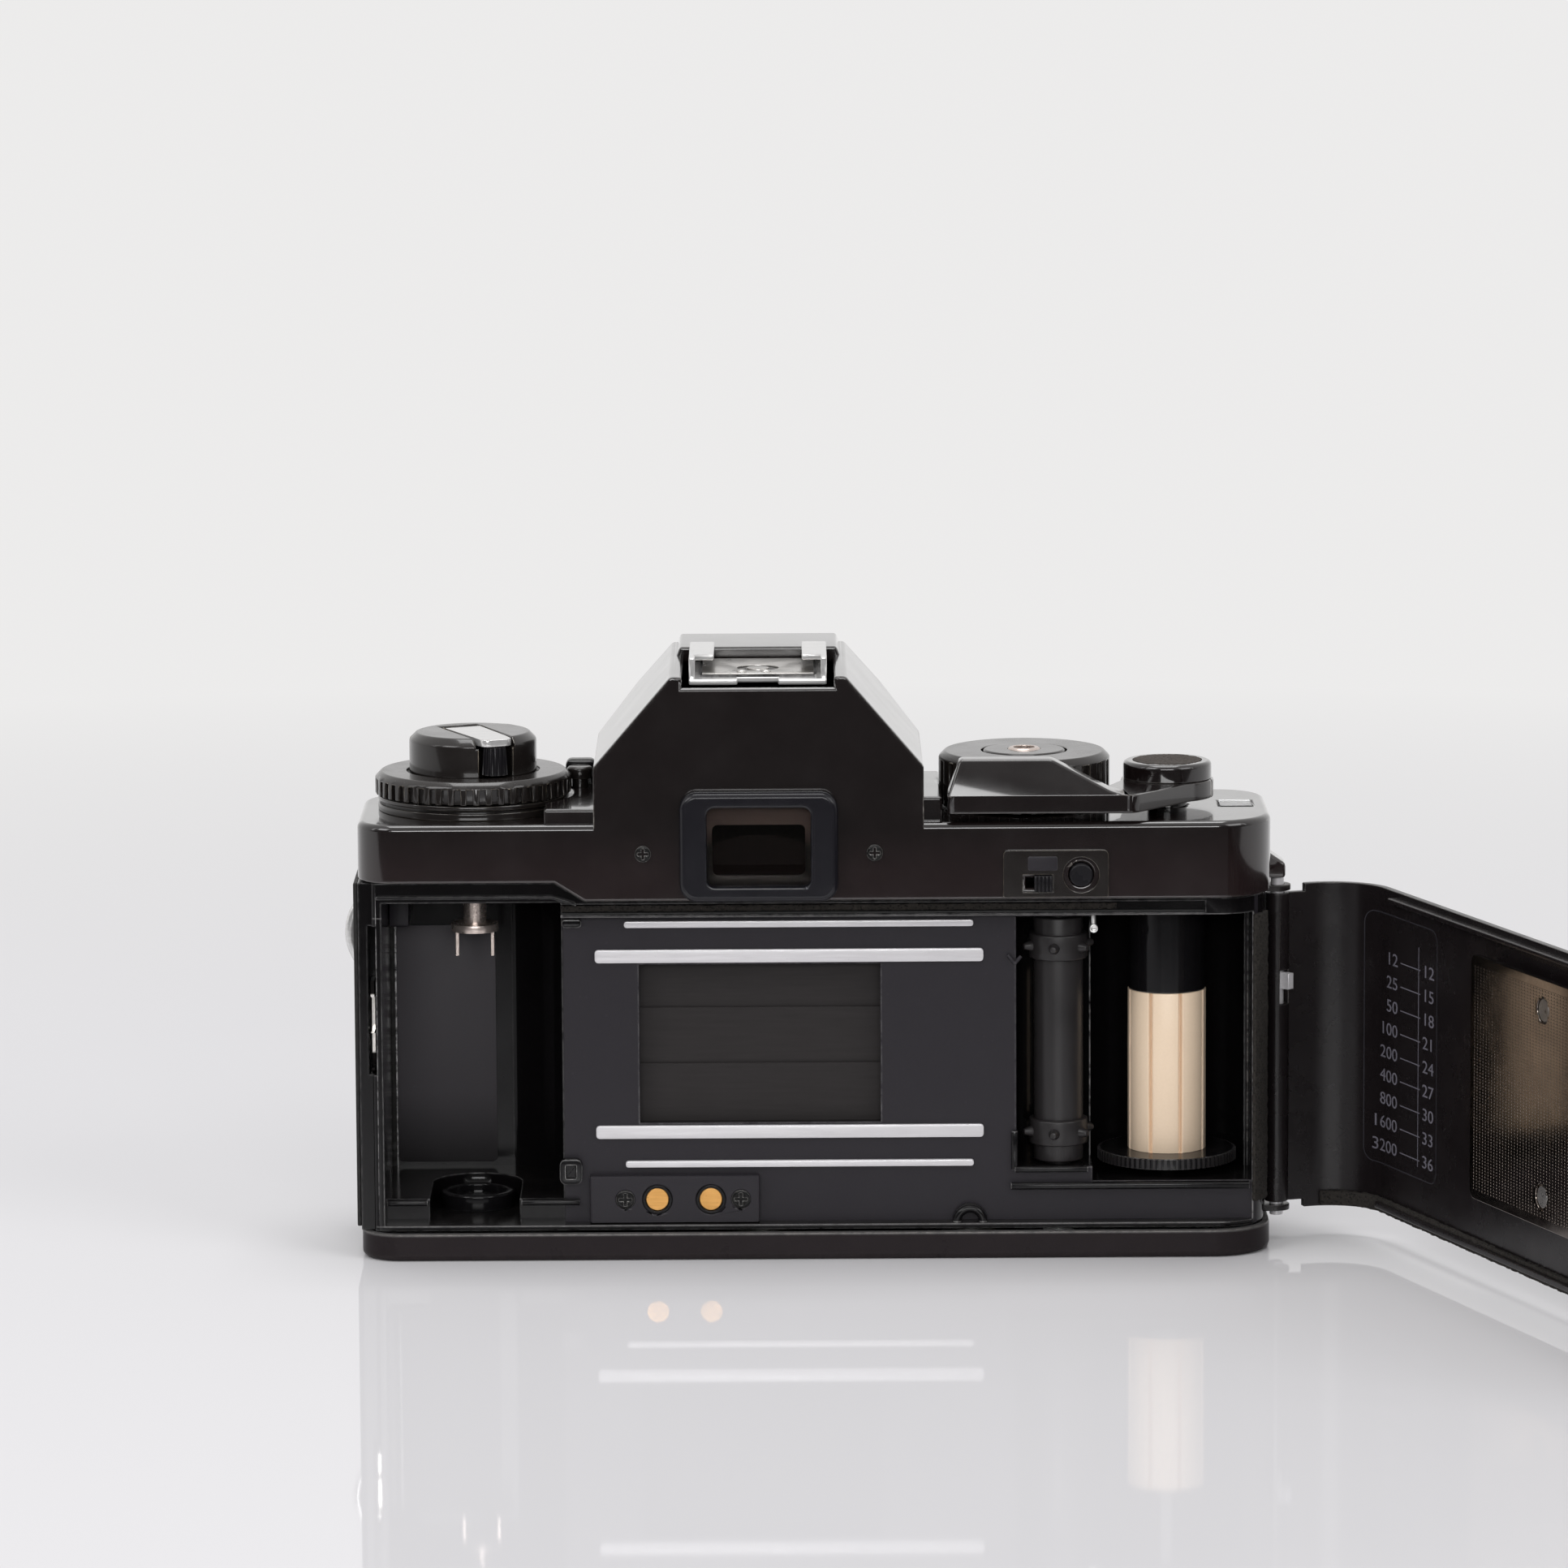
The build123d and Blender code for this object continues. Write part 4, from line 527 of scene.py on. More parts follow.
looks = {
    "coverEnamel": dict(
        deep=(0.0036, 0.0022, 0.0022), pale=(0.0105, 0.0069, 0.0069), rough=(0.14, 0.22), scale=5200, specks=0.4,
        # the lower part of the top cover is lighter: painted reflection of the pale table
        specular=0.3, coat=1.0, bump=0.07, depth=0.015, zones=[dict(where=[("Z", -10, 62)], soft=3.0, **deckPaintedReflection)],
        wearAndGlint=dict(width=0.24, amount=0.75, tone=bareMetalAndGlint), dust=0.08),
    # the base is painted lighter than the cover, partly its own dark enamel and partly painted reflection of the pale
    # table; the band at its top edge is a painted highlight line
    "baseEnamel": dict(
        deep=(0.012, 0.0095, 0.0102), pale=(0.027, 0.0215, 0.023), rough=(0.26, 0.36), scale=5200, specks=0.4,
        specular=0.07, bump=0.07, depth=0.015, zones=[dict(where=[("Z", 3.82, 4.3)], soft=0.08, **rimPaintedHighlight)],
        wearAndGlint=dict(width=0.4, amount=1.0, tone=bareMetalAndGlint), dust=0.06),
    "doorEnamel": dict(
        deep=(0.005, 0.0037, 0.004), pale=(0.0125, 0.0098, 0.0106), rough=(0.22, 0.32), scale=4600, specks=0.4,
        specular=0.34, bump=0.08, wearAndGlint=dict(width=0.16, amount=0.4, tone=bareMetalAndGlint), dust=0.12),
    "castingEnamel": dict(
        deep=(0.0022, 0.002, 0.0022), pale=(0.0065, 0.0058, 0.0064), rough=(0.1, 0.18), scale=4200, specks=0.5,
        specular=0.22, bump=0.07,
        zones=[dict(where=[("Y", -11.3, -10.6), ("X", -29.3, 90)], **gateTone),
               # painted highlight lines along the casting's lower rim and the top edge of its recess
               dict(where=[("Y", -14.2, -13.5), ("Z", 4.8, 5.02)], soft=0.05, **rimPaintedHighlight),
               dict(where=[("Y", -14.2, -13.5), ("Z", 51.58, 51.8)], soft=0.05, **rimPaintedHighlight)],
        wearAndGlint=dict(width=0.26, amount=0.8, tone=(0.42, 0.41, 0.41)), dust=0.16),
    "chamberLining": dict(
        deep=(0.044, 0.040, 0.0445), pale=(0.066, 0.060, 0.067), rough=(0.5, 0.62), scale=5200, specular=0.3, bump=0.08,
        # the lining is darker towards the bottom
        zones=[dict(where=[("Z", -5, 13.5)], soft=6.5, **blackPaintAndShade)]),
    "leatherCloth": dict(
        deep=(0.005, 0.0045, 0.0043), pale=(0.022, 0.020, 0.019), rough=(0.46, 0.62), grain="cloth", scale=1050,
        specks=0.0, specular=0.36, bump=0.8, depth=0.16, dust=0.08),
    "satinMoulding": dict(
        deep=(0.0042, 0.0038, 0.005), pale=(0.0105, 0.0096, 0.012), rough=(0.24, 0.34), scale=6000, specks=0.25,
        specular=0.2, wearAndGlint=dict(width=0.15, amount=0.2, tone=(0.2, 0.19, 0.19)), dust=0.08),
    # the eyepiece frame's pale edge band is a painted highlight along its edges
    "framePlastic": dict(
        deep=(0.0046, 0.0043, 0.0062), pale=(0.0105, 0.0098, 0.0138), rough=(0.2, 0.25), scale=6000, specks=0.25,
        specular=0.34, bump=0.08, wearAndGlint=dict(width=0.3, amount=0.4, tone=(0.3, 0.3, 0.33))),
    "collarPaintedShade": dict(
        deep=(0.002, 0.0018, 0.002), pale=(0.005, 0.0045, 0.005), rough=(0.2, 0.3), scale=6000, specks=0.2,
        specular=0.2),
    "plateMoulding": dict(
        deep=(0.016, 0.0145, 0.0175), pale=(0.030, 0.027, 0.032), rough=(0.34, 0.44), scale=5200, specular=0.18,
        bump=0.12, wearAndGlint=dict(width=0.15, amount=0.25, tone=(0.2, 0.19, 0.2))),
    "glossMoulding": dict(
        deep=(0.003, 0.0028, 0.0032), pale=(0.008, 0.0075, 0.0085), rough=(0.1, 0.17), specks=0.4, specular=0.24,
        bump=0.05, wearAndGlint=dict(width=0.2, amount=0.8, tone=(0.5, 0.49, 0.48)), dust=0.1),
    "polishedPlate": dict(
        deep=(0.15, 0.128, 0.112), pale=(0.24, 0.207, 0.182), rough=(0.1, 0.17), grain="drawn", scale=2600, metal=1.0,
        bump=0.03, depth=0.01, lean=(-0.017, 0.049, 0.0)),
    "dialEnamel": dict(
        deep=(0.006, 0.0048, 0.0045), pale=(0.018, 0.0145, 0.0132), rough=(0.18, 0.28), scale=5600, specks=0.5,
        specular=0.3, coat=0.5, wearAndGlint=dict(width=0.13, amount=0.8, tone=(0.42, 0.36, 0.28)), dust=0.22),
    "corkGrip": dict(
        deep=(0.010, 0.008, 0.007), pale=(0.085, 0.068, 0.057), rough=(0.6, 0.8), grain="crumb", scale=1900,
        specular=0.3, bump=0.9, depth=0.2),
    "chrome": dict(
        deep=(0.60, 0.59, 0.58), pale=(0.84, 0.835, 0.83), rough=(0.14, 0.26), grain="drawn", scale=2600, specks=0.25,
        metal=0.6, bump=0.03, depth=0.01),
    "latchSteel": dict(
        deep=(0.60, 0.57, 0.53), pale=(0.84, 0.82, 0.79), rough=(0.12, 0.24), grain="drawn", scale=2600, specks=0.25,
        metal=1.0, bump=0.03, depth=0.01,
        zones=[dict(where=[("Z", 0, 30.8)], **blackPaintAndShade), dict(where=[("Z", 40.0, 60)], **blackPaintAndShade)]),
    "steel": dict(
        deep=(0.36, 0.345, 0.33), pale=(0.66, 0.645, 0.62), rough=(0.24, 0.4), grain="drawn", scale=2400, specks=0.4,
        metal=1.0, bump=0.06),
    "railMetal": dict(
        deep=(0.57, 0.555, 0.57), pale=(0.72, 0.705, 0.72), rough=(0.34, 0.46), grain="drawn", scale=3000, metal=0.3,
        bump=0.05),
    "nickel": dict(
        deep=(0.50, 0.42, 0.38), pale=(0.74, 0.65, 0.60), rough=(0.22, 0.36), grain="drawn", scale=2600, metal=0.85,
        bump=0.05),
    "bladePaint": dict(
        deep=(0.0174, 0.015, 0.015), pale=(0.0267, 0.0235, 0.0235), rough=(0.48, 0.6), grain="drawn", scale=2000,
        specks=0.1, specular=0.18, bump=0.05),
    "goldPlate": dict(
        deep=(0.46, 0.215, 0.05), pale=(0.76, 0.42, 0.13), rough=(0.26, 0.42), grain="drawn", scale=3400, specks=0.4,
        metal=0.6, bump=0.06),
    "screwBlack": dict(
        deep=(0.002, 0.0019, 0.0019), pale=(0.006, 0.0057, 0.0055), rough=(0.2, 0.32), grain="drawn", scale=3000,
        specks=0.2, specular=0.2, bump=0.05, depth=0.01,
        wearAndGlint=dict(width=0.11, amount=1.0, tone=(0.75, 0.72, 0.69), breaks=1800.0)),
    "sprocketSatin": dict(
        deep=(0.013, 0.0118, 0.0122), pale=(0.027, 0.0245, 0.0252), rough=(0.3, 0.42), specular=0.36, bump=0.06,
        dust=0.08),
    # brown band above the finder's opening as painted light, black below it as painted shade
    "baffleLitAndShaded": dict(
        deep=(0.075, 0.057, 0.053), pale=(0.12, 0.092, 0.085), rough=(0.5, 0.64), scale=4000, specks=0.1, specular=0.25,
        bump=0.05, zones=[dict(where=[("Z", 50, 63.5)], soft=1.5, **blackPaintAndShade)]),
    "silvered": dict(
        deep=(0.84, 0.85, 0.87), pale=(0.9, 0.905, 0.92), rough=(0.01, 0.04), scale=2500, specks=0.2, metal=1.0,
        bump=0.02),
    "foam": dict(
        deep=(0.003, 0.0026, 0.0023), pale=(0.042, 0.036, 0.031), rough=(0.8, 0.96), grain="crumb", scale=1500,
        specks=0.4, specular=0.3, bump=0.9, depth=0.25),
    "ivory": dict(
        deep=(0.82, 0.635, 0.46), pale=(0.93, 0.745, 0.56), rough=(0.34, 0.46), scale=2600, specks=0.05, bump=0.06,
        dust=0.08, dustTone=(0.35, 0.30, 0.24)),
    "greyInk": dict(
        deep=(0.075, 0.07, 0.085), pale=(0.20, 0.19, 0.225), rough=(0.5, 0.7), specks=0.0, specular=0.3, bump=0.05),
    "faintInk": dict(
        deep=(0.012, 0.011, 0.014), pale=(0.04, 0.038, 0.046), rough=(0.5, 0.7), specks=0.0, specular=0.3, bump=0.05),
}
finishes = {name: makeFinish(name, **look) for name, look in looks.items()}
glasses = {
    "finderGlass": dict(tone=(0.80, 0.77, 0.74), haze=0.05, bend=1.08),
    "prismGlass": dict(tone=(0.007, 0.0052, 0.005), haze=0.03),
    "clearGlass": dict(tone=(0.86, 0.87, 0.88), haze=0.03),
}
finishes.update({name: makeGlass(name, **glass) for name, glass in glasses.items()})
print("finishes made:", len(finishes))

# what the carried-over nodes are dressed in: finish, slot, and how far each one's edges are broken
dressing = [
    ("castingEnamel", "casting_paint", dict(body_casting=0.2)),
    ("coverEnamel", "cover_paint", dict(top_cover=0.45, front_apron=0.3, wind_lever=0.35, lever_cap=0.2)),
    ("baseEnamel", "cover_paint", dict(bottom_cover=0.4)),
    ("doorEnamel", "cover_paint", dict(hinge_ears=0.12, film_door=0.2)),
    ("leatherCloth", "leatherette", dict(body_leatherette=0.2, door_leatherette=0.15)),
    ("satinMoulding", "black_plastic", dict(mirror_box=0.15, shutter_frame=0.1, counter_disc=0.1, mode_slider=0.08,
                                            rear_button=0.1)),
    ("dialEnamel", "black_plastic", dict(switch_plate=0.12, dial_base=0.2, rewind_knob=0.25, film_speed_dial=0.18,
                                         dial_lock=0.2, shutter_dial=0.18, release_button=0.15)),
    ("framePlastic", "black_plastic", dict(eyepiece_frame=0.45)),
    ("plateMoulding", "black_plastic", dict(contact_plate=0.3)),
    ("glossMoulding", "gloss_plastic", dict(shoe_insulator=0.08, spool_core=0.15)),
    ("polishedPlate", "gloss_plastic", dict(pressure_plate=0.18)),
    ("clearGlass", "glass", dict(focusing_screen=0.1, counter_window=0.06)),
    ("prismGlass", "glass", dict(pentaprism=0.15)),
    ("finderGlass", "glass", dict(eyepiece_lens=0.1)),
    ("silvered", "mirror", dict(reflex_mirror=0.1)),
    ("chrome", "chrome", dict(hot_shoe=0.24, strap_lugs=0.2, crank_arm=0.15, lens_release=0.2, rewind_release=0.12,
                              strap_ring_left=0.0, strap_ring_right=0.0)),
    ("railMetal", "chrome", dict(hinge_pin=0.12)),
    ("latchSteel", "chrome", dict(door_latch=0.12)),
    ("steel", "steel", dict(lens_mount_ring=0.2, shoe_contact=0.12, tripod_bush=0.15, battery_cells=0.2,
                            plate_spring=0.06, battery_cap=0.2)),
    ("nickel", "nickel", dict(rewind_collar=0.1, rewind_fork=0.12, release_ring=0.1)),
    ("goldPlate", "gold", dict(contact_pins=0.15)),
    ("bladePaint", "blade_paint", dict(shutter_blade_1=0.06, shutter_blade_2=0.06, shutter_blade_3=0.06)),
]
mergeGap = 0.002  # the loose triangles of a node meet within this, in mm
flatAngle = 0.4


# a merged copy of a node's mesh, left in edit mode
def copyNode(nodeName, pieceName):
    piece = bpy.data.objects.new(pieceName, nodes[nodeName].data.copy())
    bpy.context.scene.collection.objects.link(piece)
    startEdit(piece, "VERT")
    bpy.ops.mesh.remove_doubles(threshold=mergeGap * mm)
    return piece


# a copy of a node with its sharp edges broken, standing in for it
def dressNode(nodeName, finish, slotName, edge):
    piece = copyNode(nodeName, nodeName + "Dressed")
    bpy.ops.mesh.dissolve_limited(angle_limit=math.radians(flatAngle))
    endEdit()
    if edge:
        breakOutward(piece, edge)
    settle(piece, nodeName + "Dressed", homeBody[nodeName], finish)
    useModifier(piece, "WEIGHTED_NORMAL", keep_sharp=True)
    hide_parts(nodeName)


worn = {node: (finish, slotName, edge) for finish, slotName, edges in dressing for node, edge in edges.items()}
for nodeName in homeBody:
    if nodeName in worn:
        dressNode(nodeName, *worn[nodeName])
print("nodes dressed:", len(worn))

# things drawn on the shut door are carried round its bend and swung open with it
doorShape = dict(innerFace=-14.8, bendStart=68.45, bendCentreY=-6.4, bendRadius=8.4)
doorJoint = next(joint for joint in frame["joints"] if joint["child"] == "door")
doorPivot = Vector(doorJoint["pos_m"])
doorAngle = math.radians(-doorJoint["range_deg"][0])


def hangOnDoor(piece):
    start, radius = doorShape["bendStart"], doorShape["bendRadius"]
    for vert in piece.data.vertices:
        x, y, z = vert.co / mm
        if x > start:
            turn = (x - start) / radius
            reach = radius - (y - doorShape["innerFace"])
            x = start + reach * math.sin(turn)
            y = doorShape["bendCentreY"] - reach * math.cos(turn)
        vert.co = Vector((x, y, z)) * mm
    swing = Matrix.Translation(doorPivot) @ Matrix.Rotation(doorAngle, 4, "Z") @ Matrix.Translation(-doorPivot)
    piece.data.transform(swing)
    return piece


# number table printed inside the door
doorTable = dict(speeds=[12, 25, 50, 100, 200, 400, 800, 1600, 3200], steps=[12, 15, 18, 21, 24, 27, 30, 33, 36],
                 topRow=43.6, rowStep=3.6, speedEdge=63.4, stepEdge=54.9, digit=1.85, line=(55.7, 62.5),
                 lineWidth=0.16, rule=(56.2, 56.35), rulePast=(1.0, 3.4), frameLow=(49.9, 12.0),
                 frameHigh=(73.0, 50.4), corner=2.0, cuts=20, proud=0.03, ink=(0.02, 0.01))
digitShape = dict(capHeight=0.69, widen=1.5, thick=0.015, curve=4)


def addNumber(text, x, z, height, align, face):
    clearSelection()
    bpy.ops.object.text_add()
    word = bpy.context.object
    word.data.body = str(text)
    word.data.size = height / digitShape["capHeight"] * mm
    word.data.align_x, word.data.align_y = align, "CENTER"
    word.data.extrude = digitShape["thick"] * mm
    word.data.resolution_u = digitShape["curve"]
    bpy.ops.object.convert(target="MESH")
    word = bpy.context.object
    wide = digitShape["widen"]
    word.matrix_world = Matrix(((-wide, 0, 0, x * mm), (0, 0, 1, face * mm), (0, 1, 0, z * mm), (0, 0, 0, 1)))
    freeze()
    return word


def makeDoorTable(speeds, steps, topRow, rowStep, speedEdge, stepEdge, digit, line, lineWidth, rule, rulePast,
                  frameLow, frameHigh, corner, cuts, proud, ink):
    face = doorShape["innerFace"] + proud
    near, far = face - ink[0], face + ink[1]
    parts = []
    for row, (speed, step) in enumerate(zip(speeds, steps)):
        z = topRow - rowStep * row
        parts.append(addNumber(speed, speedEdge, z, digit, "RIGHT", face))
        parts.append(addNumber(step, stepEdge, z, digit, "LEFT", face))
        parts.append(addBlock((line[0], near, z - lineWidth / 2), (line[1], far, z + lineWidth / 2)))
    parts.append(addBlock((rule[0], near, z - rulePast[0]), (rule[1], far, topRow + rulePast[1])))
    border = addSheet(frameLow, frameHigh, face)
    startEdit(border, "VERT")
    bpy.ops.mesh.bevel(offset=corner * mm, segments=6, affect="VERTICES")
    bpy.ops.mesh.select_mode(type="FACE")
    bpy.ops.mesh.select_all(action="SELECT")
    insetFaces(lineWidth)
    bpy.ops.mesh.delete(type="FACE")
    pickEdges(border, lambda a, b: (a - b).length > 5)
    bpy.ops.mesh.subdivide(number_cuts=cuts)
    endEdit()
    useModifier(border, "SOLIDIFY", thickness=sum(ink) * mm, offset=0)
    settle(hangOnDoor(border), "doorTableFrame", "door", "faintInk")
    settle(hangOnDoor(joinPieces(parts)), "doorNumberTable", "door", "greyInk")


makeDoorTable(**doorTable)
print("number table printed")

# dimpled face of the pressure plate, with room round its rivets
plateFace = dict(low=(-25.6, 15.3), high=(31.6, 48.7), face=-11.95, pitch=(0.95, 0.46), hole=2.1, rim=0.11, wall=0.05,
                 sink=0.08, rivets=[(-3.3, 18.4), (-3.3, 45.6), (9.3, 18.4), (9.3, 45.6)])


def makePlateFace(low, high, face, pitch, hole, rim, wall, sink, rivets):
    piece = addSheet(low, high, face, *(round((b - a) / step) for a, b, step in zip(low, high, pitch)))
    startEdit(piece)
    pickFaces(piece, lambda c, n: any(math.hypot(c.x - x, c.z - z) < hole for x, z in rivets))
    bpy.ops.mesh.delete(type="FACE")
    bpy.ops.mesh.select_all(action="SELECT")
    insetFaces(rim, each=True)
    insetFaces(wall, -sink, True)
    endEdit()
    settle(hangOnDoor(piece), "pressurePlateDimples", "plate", "polishedPlate", 20)


makePlateFace(**plateFace)
print("pressure plate dimpled")


# crumbling foam: a strip is cut fine and roughened
def crumble(piece, voxel, swell, size=0.9):
    useModifier(piece, "REMESH", mode="VOXEL", voxel_size=voxel * mm)
    texture = bpy.data.textures.new("crumbs", "CLOUDS")
    texture.noise_scale = size * mm
    useModifier(piece, "DISPLACE", texture=texture, texture_coords="LOCAL", strength=swell * mm, mid_level=0.55)


doorFoam = dict(left=-55.5, right=80.0, low=4.7, high=6.9, thickness=0.8, sink=0.1, cuts=90, jambLow=7.7,
                doorCrumbs=dict(voxel=0.3, swell=0.35), jambCrumbs=dict(voxel=0.25, swell=0.3))


def makeFoam(left, right, low, high, thickness, sink, cuts, jambLow, doorCrumbs, jambCrumbs):
    face = doorShape["innerFace"]
    strip = addBlock((left, face - sink, low), (right, face + thickness, high))
    startEdit(strip)
    pickEdges(strip, lambda a, b: abs(a.x - b.x) > 1)
    bpy.ops.mesh.subdivide(number_cuts=cuts)
    endEdit()
    crumble(hangOnDoor(strip), **doorCrumbs)
    settle(strip, "doorFoamStrip", "door", "foam", 60)
    seals = copyNode("light_seals", "jambFoam")
    bpy.ops.mesh.bisect(plane_co=(0, 0, jambLow * mm), plane_no=upward, use_fill=True, clear_inner=True)
    endEdit()
    crumble(seals, **jambCrumbs)
    settle(seals, "jambFoam", "body", "foam", 60)
    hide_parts("light_seals")


makeFoam(**doorFoam)
print("foam crumbled")

# fluted grip of the crank
gripFlutes = dict(count=14, depth=0.22, wall=0.05, taper=0.84, edge=0.1)


def makeCrankGrip(count, depth, wall, taper, edge):
    low, high, middle = boxOf("crank_grip")
    radius = (high.x - low.x) / 2
    piece = addCone(middle, radius, radius * taper, high.z - low.z, count * 4)

    def inFlute(centre, normal):
        share = (angleRound(middle, centre) + math.pi) / (2 * math.pi)
        return abs(normal.z) < 0.7 and math.floor(share * count * 2) % 2 == 0

    startEdit(piece)
    pickFaces(piece, inFlute)
    insetFaces(wall, -depth)
    endEdit()
    softenEdges(piece, edge, 2, 40)
    settle(piece, "crankGripFluted", "grip", "satinMoulding")
    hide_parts("crank_grip")


makeCrankGrip(**gripFlutes)
print("crank grip fluted")

# ribs round the take-up flange
flangeRibs = dict(count=76, radius=10.05, proud=0.4, low=12.2, high=13.7)


def makeFlangeRibs(count, radius, proud, low, high):
    axis = boxOf("spool_core")[2]
    piece = addPost(axis, low, high, radius, count * 2)

    def onRib(centre, normal):
        angle = angleRound(axis, centre) + 2 * math.pi
        return abs(normal.z) < 0.5 and round(angle / math.pi * count - 0.5) % 2 == 0

    startEdit(piece)
    pickFaces(piece, onRib)
    bpy.ops.mesh.extrude_faces_move(TRANSFORM_OT_shrink_fatten={"value": proud * mm})
    endEdit()
    settle(piece, "flangeRibs", "spool", "sprocketSatin", 20)


makeFlangeRibs(**flangeRibs)
print("flange ribbed")

# cream sleeve of the take-up spool, slit into slats
sleeveSlits = dict(count=8, first=-117.0, half=2.3, depth=0.85, wall=0.02, sides=240, edge=0.1)


def makeSpoolSleeve(count, first, half, depth, wall, sides, edge):
    low, high, axis = boxOf("take_up_spool")
    piece = addPost(axis, low.z, high.z, (high.x - low.x) / 2, sides)
    step = 360 / count

    def inSlit(centre, normal):
        past = (math.degrees(angleRound(axis, centre)) - first + step / 2) % step - step / 2
        return abs(normal.z) < 0.5 and abs(past) < half

    startEdit(piece)
    pickFaces(piece, inSlit)
    insetFaces(wall, -depth)
    endEdit()
    softenEdges(piece, edge)
    settle(piece, "spoolSleeve", "spool", "ivory", 25)
    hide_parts("take_up_spool")


makeSpoolSleeve(**sleeveSlits)

# film sprocket: shaft, two drums and their teeth
sprocketShape = dict(shaft=3.7, drum=4.4, pivot=2.0, low=13.5, high=50.5, middle=32.0, spread=14.1, drumHalf=1.9,
                     edge=0.25, teeth=6, turn=20.0, reach=1.2, root=0.4, wide=0.95, narrow=0.45, toothEdge=0.12)


def makeSprocket(shaft, drum, pivot, low, high, middle, spread, drumHalf, edge, teeth, turn, reach, root, wide,
                 narrow, toothEdge):
    bottom, top, axis = boxOf("sprocket")
    rows = (middle - spread, middle + spread)
    parts = [addPost(axis, bottom.z, top.z, pivot, 32), addPost(axis, low, high, shaft, 64)]
    parts += [addPost(axis, z - drumHalf, z + drumHalf, drum, 64) for z in rows]
    for part in parts:
        softenEdges(part, edge, 3)
    away = drum + (reach - root) / 2
    for z in rows:
        for step in range(teeth):
            angle = math.radians(360 / teeth * step + turn)
            place = (axis.x + away * math.cos(angle), axis.y + away * math.sin(angle), z)
            tooth = addCone(place, wide, narrow, reach + root, 20, (0, math.pi / 2, angle))
            softenEdges(tooth, toothEdge)
            parts.append(tooth)
    piece = settle(joinPieces(parts), "sprocketToothed", "sprocket", "sprocketSatin")
    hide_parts("sprocket")


makeSprocket(**sprocketShape)
print("spool and sprocket turned")

# cross-head screws: contact plate and prism cover at the rear, lens mount at the front
screwShape = dict(length=0.5, rim=0.16, swell=0.06, arm=0.68, half=0.17, deep=0.36, edge=0.05)
plateScrews = dict(places=[(-20.3, 8.6), (-3.0, 8.6)], face=-12.55, radius=1.4, facing=-1)
coverScrews = dict(places=[(-17.2, 61.6), (17.2, 61.6)], face=-16.35, radius=1.2, facing=-1)
mountCircle = dict(radius=27.35, middle=32.0, angles=[math.radians(90 + 72 * step) for step in range(5)])
mountScrews = dict(places=[(mountCircle["radius"] * math.cos(angle),
                            mountCircle["middle"] + mountCircle["radius"] * math.sin(angle))
                           for angle in mountCircle["angles"]], face=33.96, radius=1.6, facing=1)


def makeScrewHead(x, z, face, radius, facing):
    shape = screwShape
    head = addRod((x, face - facing * shape["length"], z), (x, face, z), radius, 40)
    editFacing(head, -facing * rearward)
    insetFaces(shape["rim"] * radius)
    bpy.ops.transform.translate(value=(0, facing * shape["swell"] * mm, 0))
    endEdit()
    arm, half = shape["arm"] * radius, shape["half"] * radius
    near, deep = sorted((face + facing * shape["length"], face - facing * shape["deep"]))
    for wide, tall in ((arm, half), (half, arm)):
        cutAway(head, addBlock((x - wide, near, z - tall), (x + wide, deep, z + tall)))
    softenEdges(head, shape["edge"])
    return head


def makeScrewSet(places, **screw):
    return [makeScrewHead(x, z, **screw) for x, z in places]


rearScrews = settle(joinPieces(makeScrewSet(**plateScrews) + makeScrewSet(**coverScrews)), "rearScrews", "body",
                    "screwBlack")
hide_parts("screws")
settle(joinPieces(makeScrewSet(**mountScrews)), "mountScrews", "body", "steel")
print("screws set")

# film rails with rounded ends
filmRails = dict(middle=32.0, seat=-10.9, edge=0.12, pairs=[
    dict(left=-24.6, right=33.4, offset=13.35, width=2.0, face=-11.5, corner=0.55),
    dict(left=-20.2, right=31.9, offset=18.2, width=1.0, face=-11.7, corner=0.42)])


def makeRails(middle, seat, edge, pairs):
    rails = []
    for rail in pairs:
        for z in (middle - rail["offset"], middle + rail["offset"]):
            half = rail["width"] / 2
            low, high = (rail["left"], rail["face"], z - half), (rail["right"], seat, z + half)
            rails.append(roundBlock(low, high, 1, rail["corner"], edge))
    piece = settle(joinPieces(rails), "filmRailsRounded", "body", "railMetal")
    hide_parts("film_rails")


makeRails(**filmRails)
print("rails rounded")

# small blocks with rounded edges: lining and stop of the cassette chamber, guide loop, tab, sills and ledges
castBits = [
    dict(name="chamberLining", low=(-55.4, 14.07, 9.2), high=(-40.3, 14.42, 45.9), axis=1, corner=0.8, edge=0.08,
         finish="chamberLining"),
    dict(name="chamberStopBlock", low=(-56.1, 8.2, 46.6), high=(-53.2, 14.4, 53.4), axis=0, corner=0.5, edge=0.15,
         finish="plateMoulding"),
    dict(name="guideLoop", low=(-30.1, -12.5, 10.9), high=(-26.7, -10.9, 14.8), axis=1, corner=1.0, dish=0.75),
    dict(name="gateTab", low=(-29.5, -11.9, 49.8), high=(-26.5, -10.9, 51.1), axis=1, corner=0.6),
    dict(name="sprocketSill", low=(38.0, -12.2, 12.3), high=(49.0, -10.8, 13.2), axis=0, corner=0.35),
    dict(name="sprocketPost", low=(37.5, -12.0, 12.6), high=(38.5, -10.9, 18.6), axis=2, corner=0.4),
    dict(name="takeUpSill", low=(37.4, -12.4, 9.7), high=(73.2, -10.9, 10.75), axis=0, corner=0.42),
    dict(name="ledgeLeft", low=(-56.0, -12.3, 7.7), high=(-49.9, -10.9, 8.6), axis=0, corner=0.4),
    dict(name="ledgeRight", low=(-35.9, -12.3, 7.7), high=(-27.1, -10.9, 8.6), axis=0, corner=0.4),
]
dishShape = dict(wall=0.15, sink=0.5)


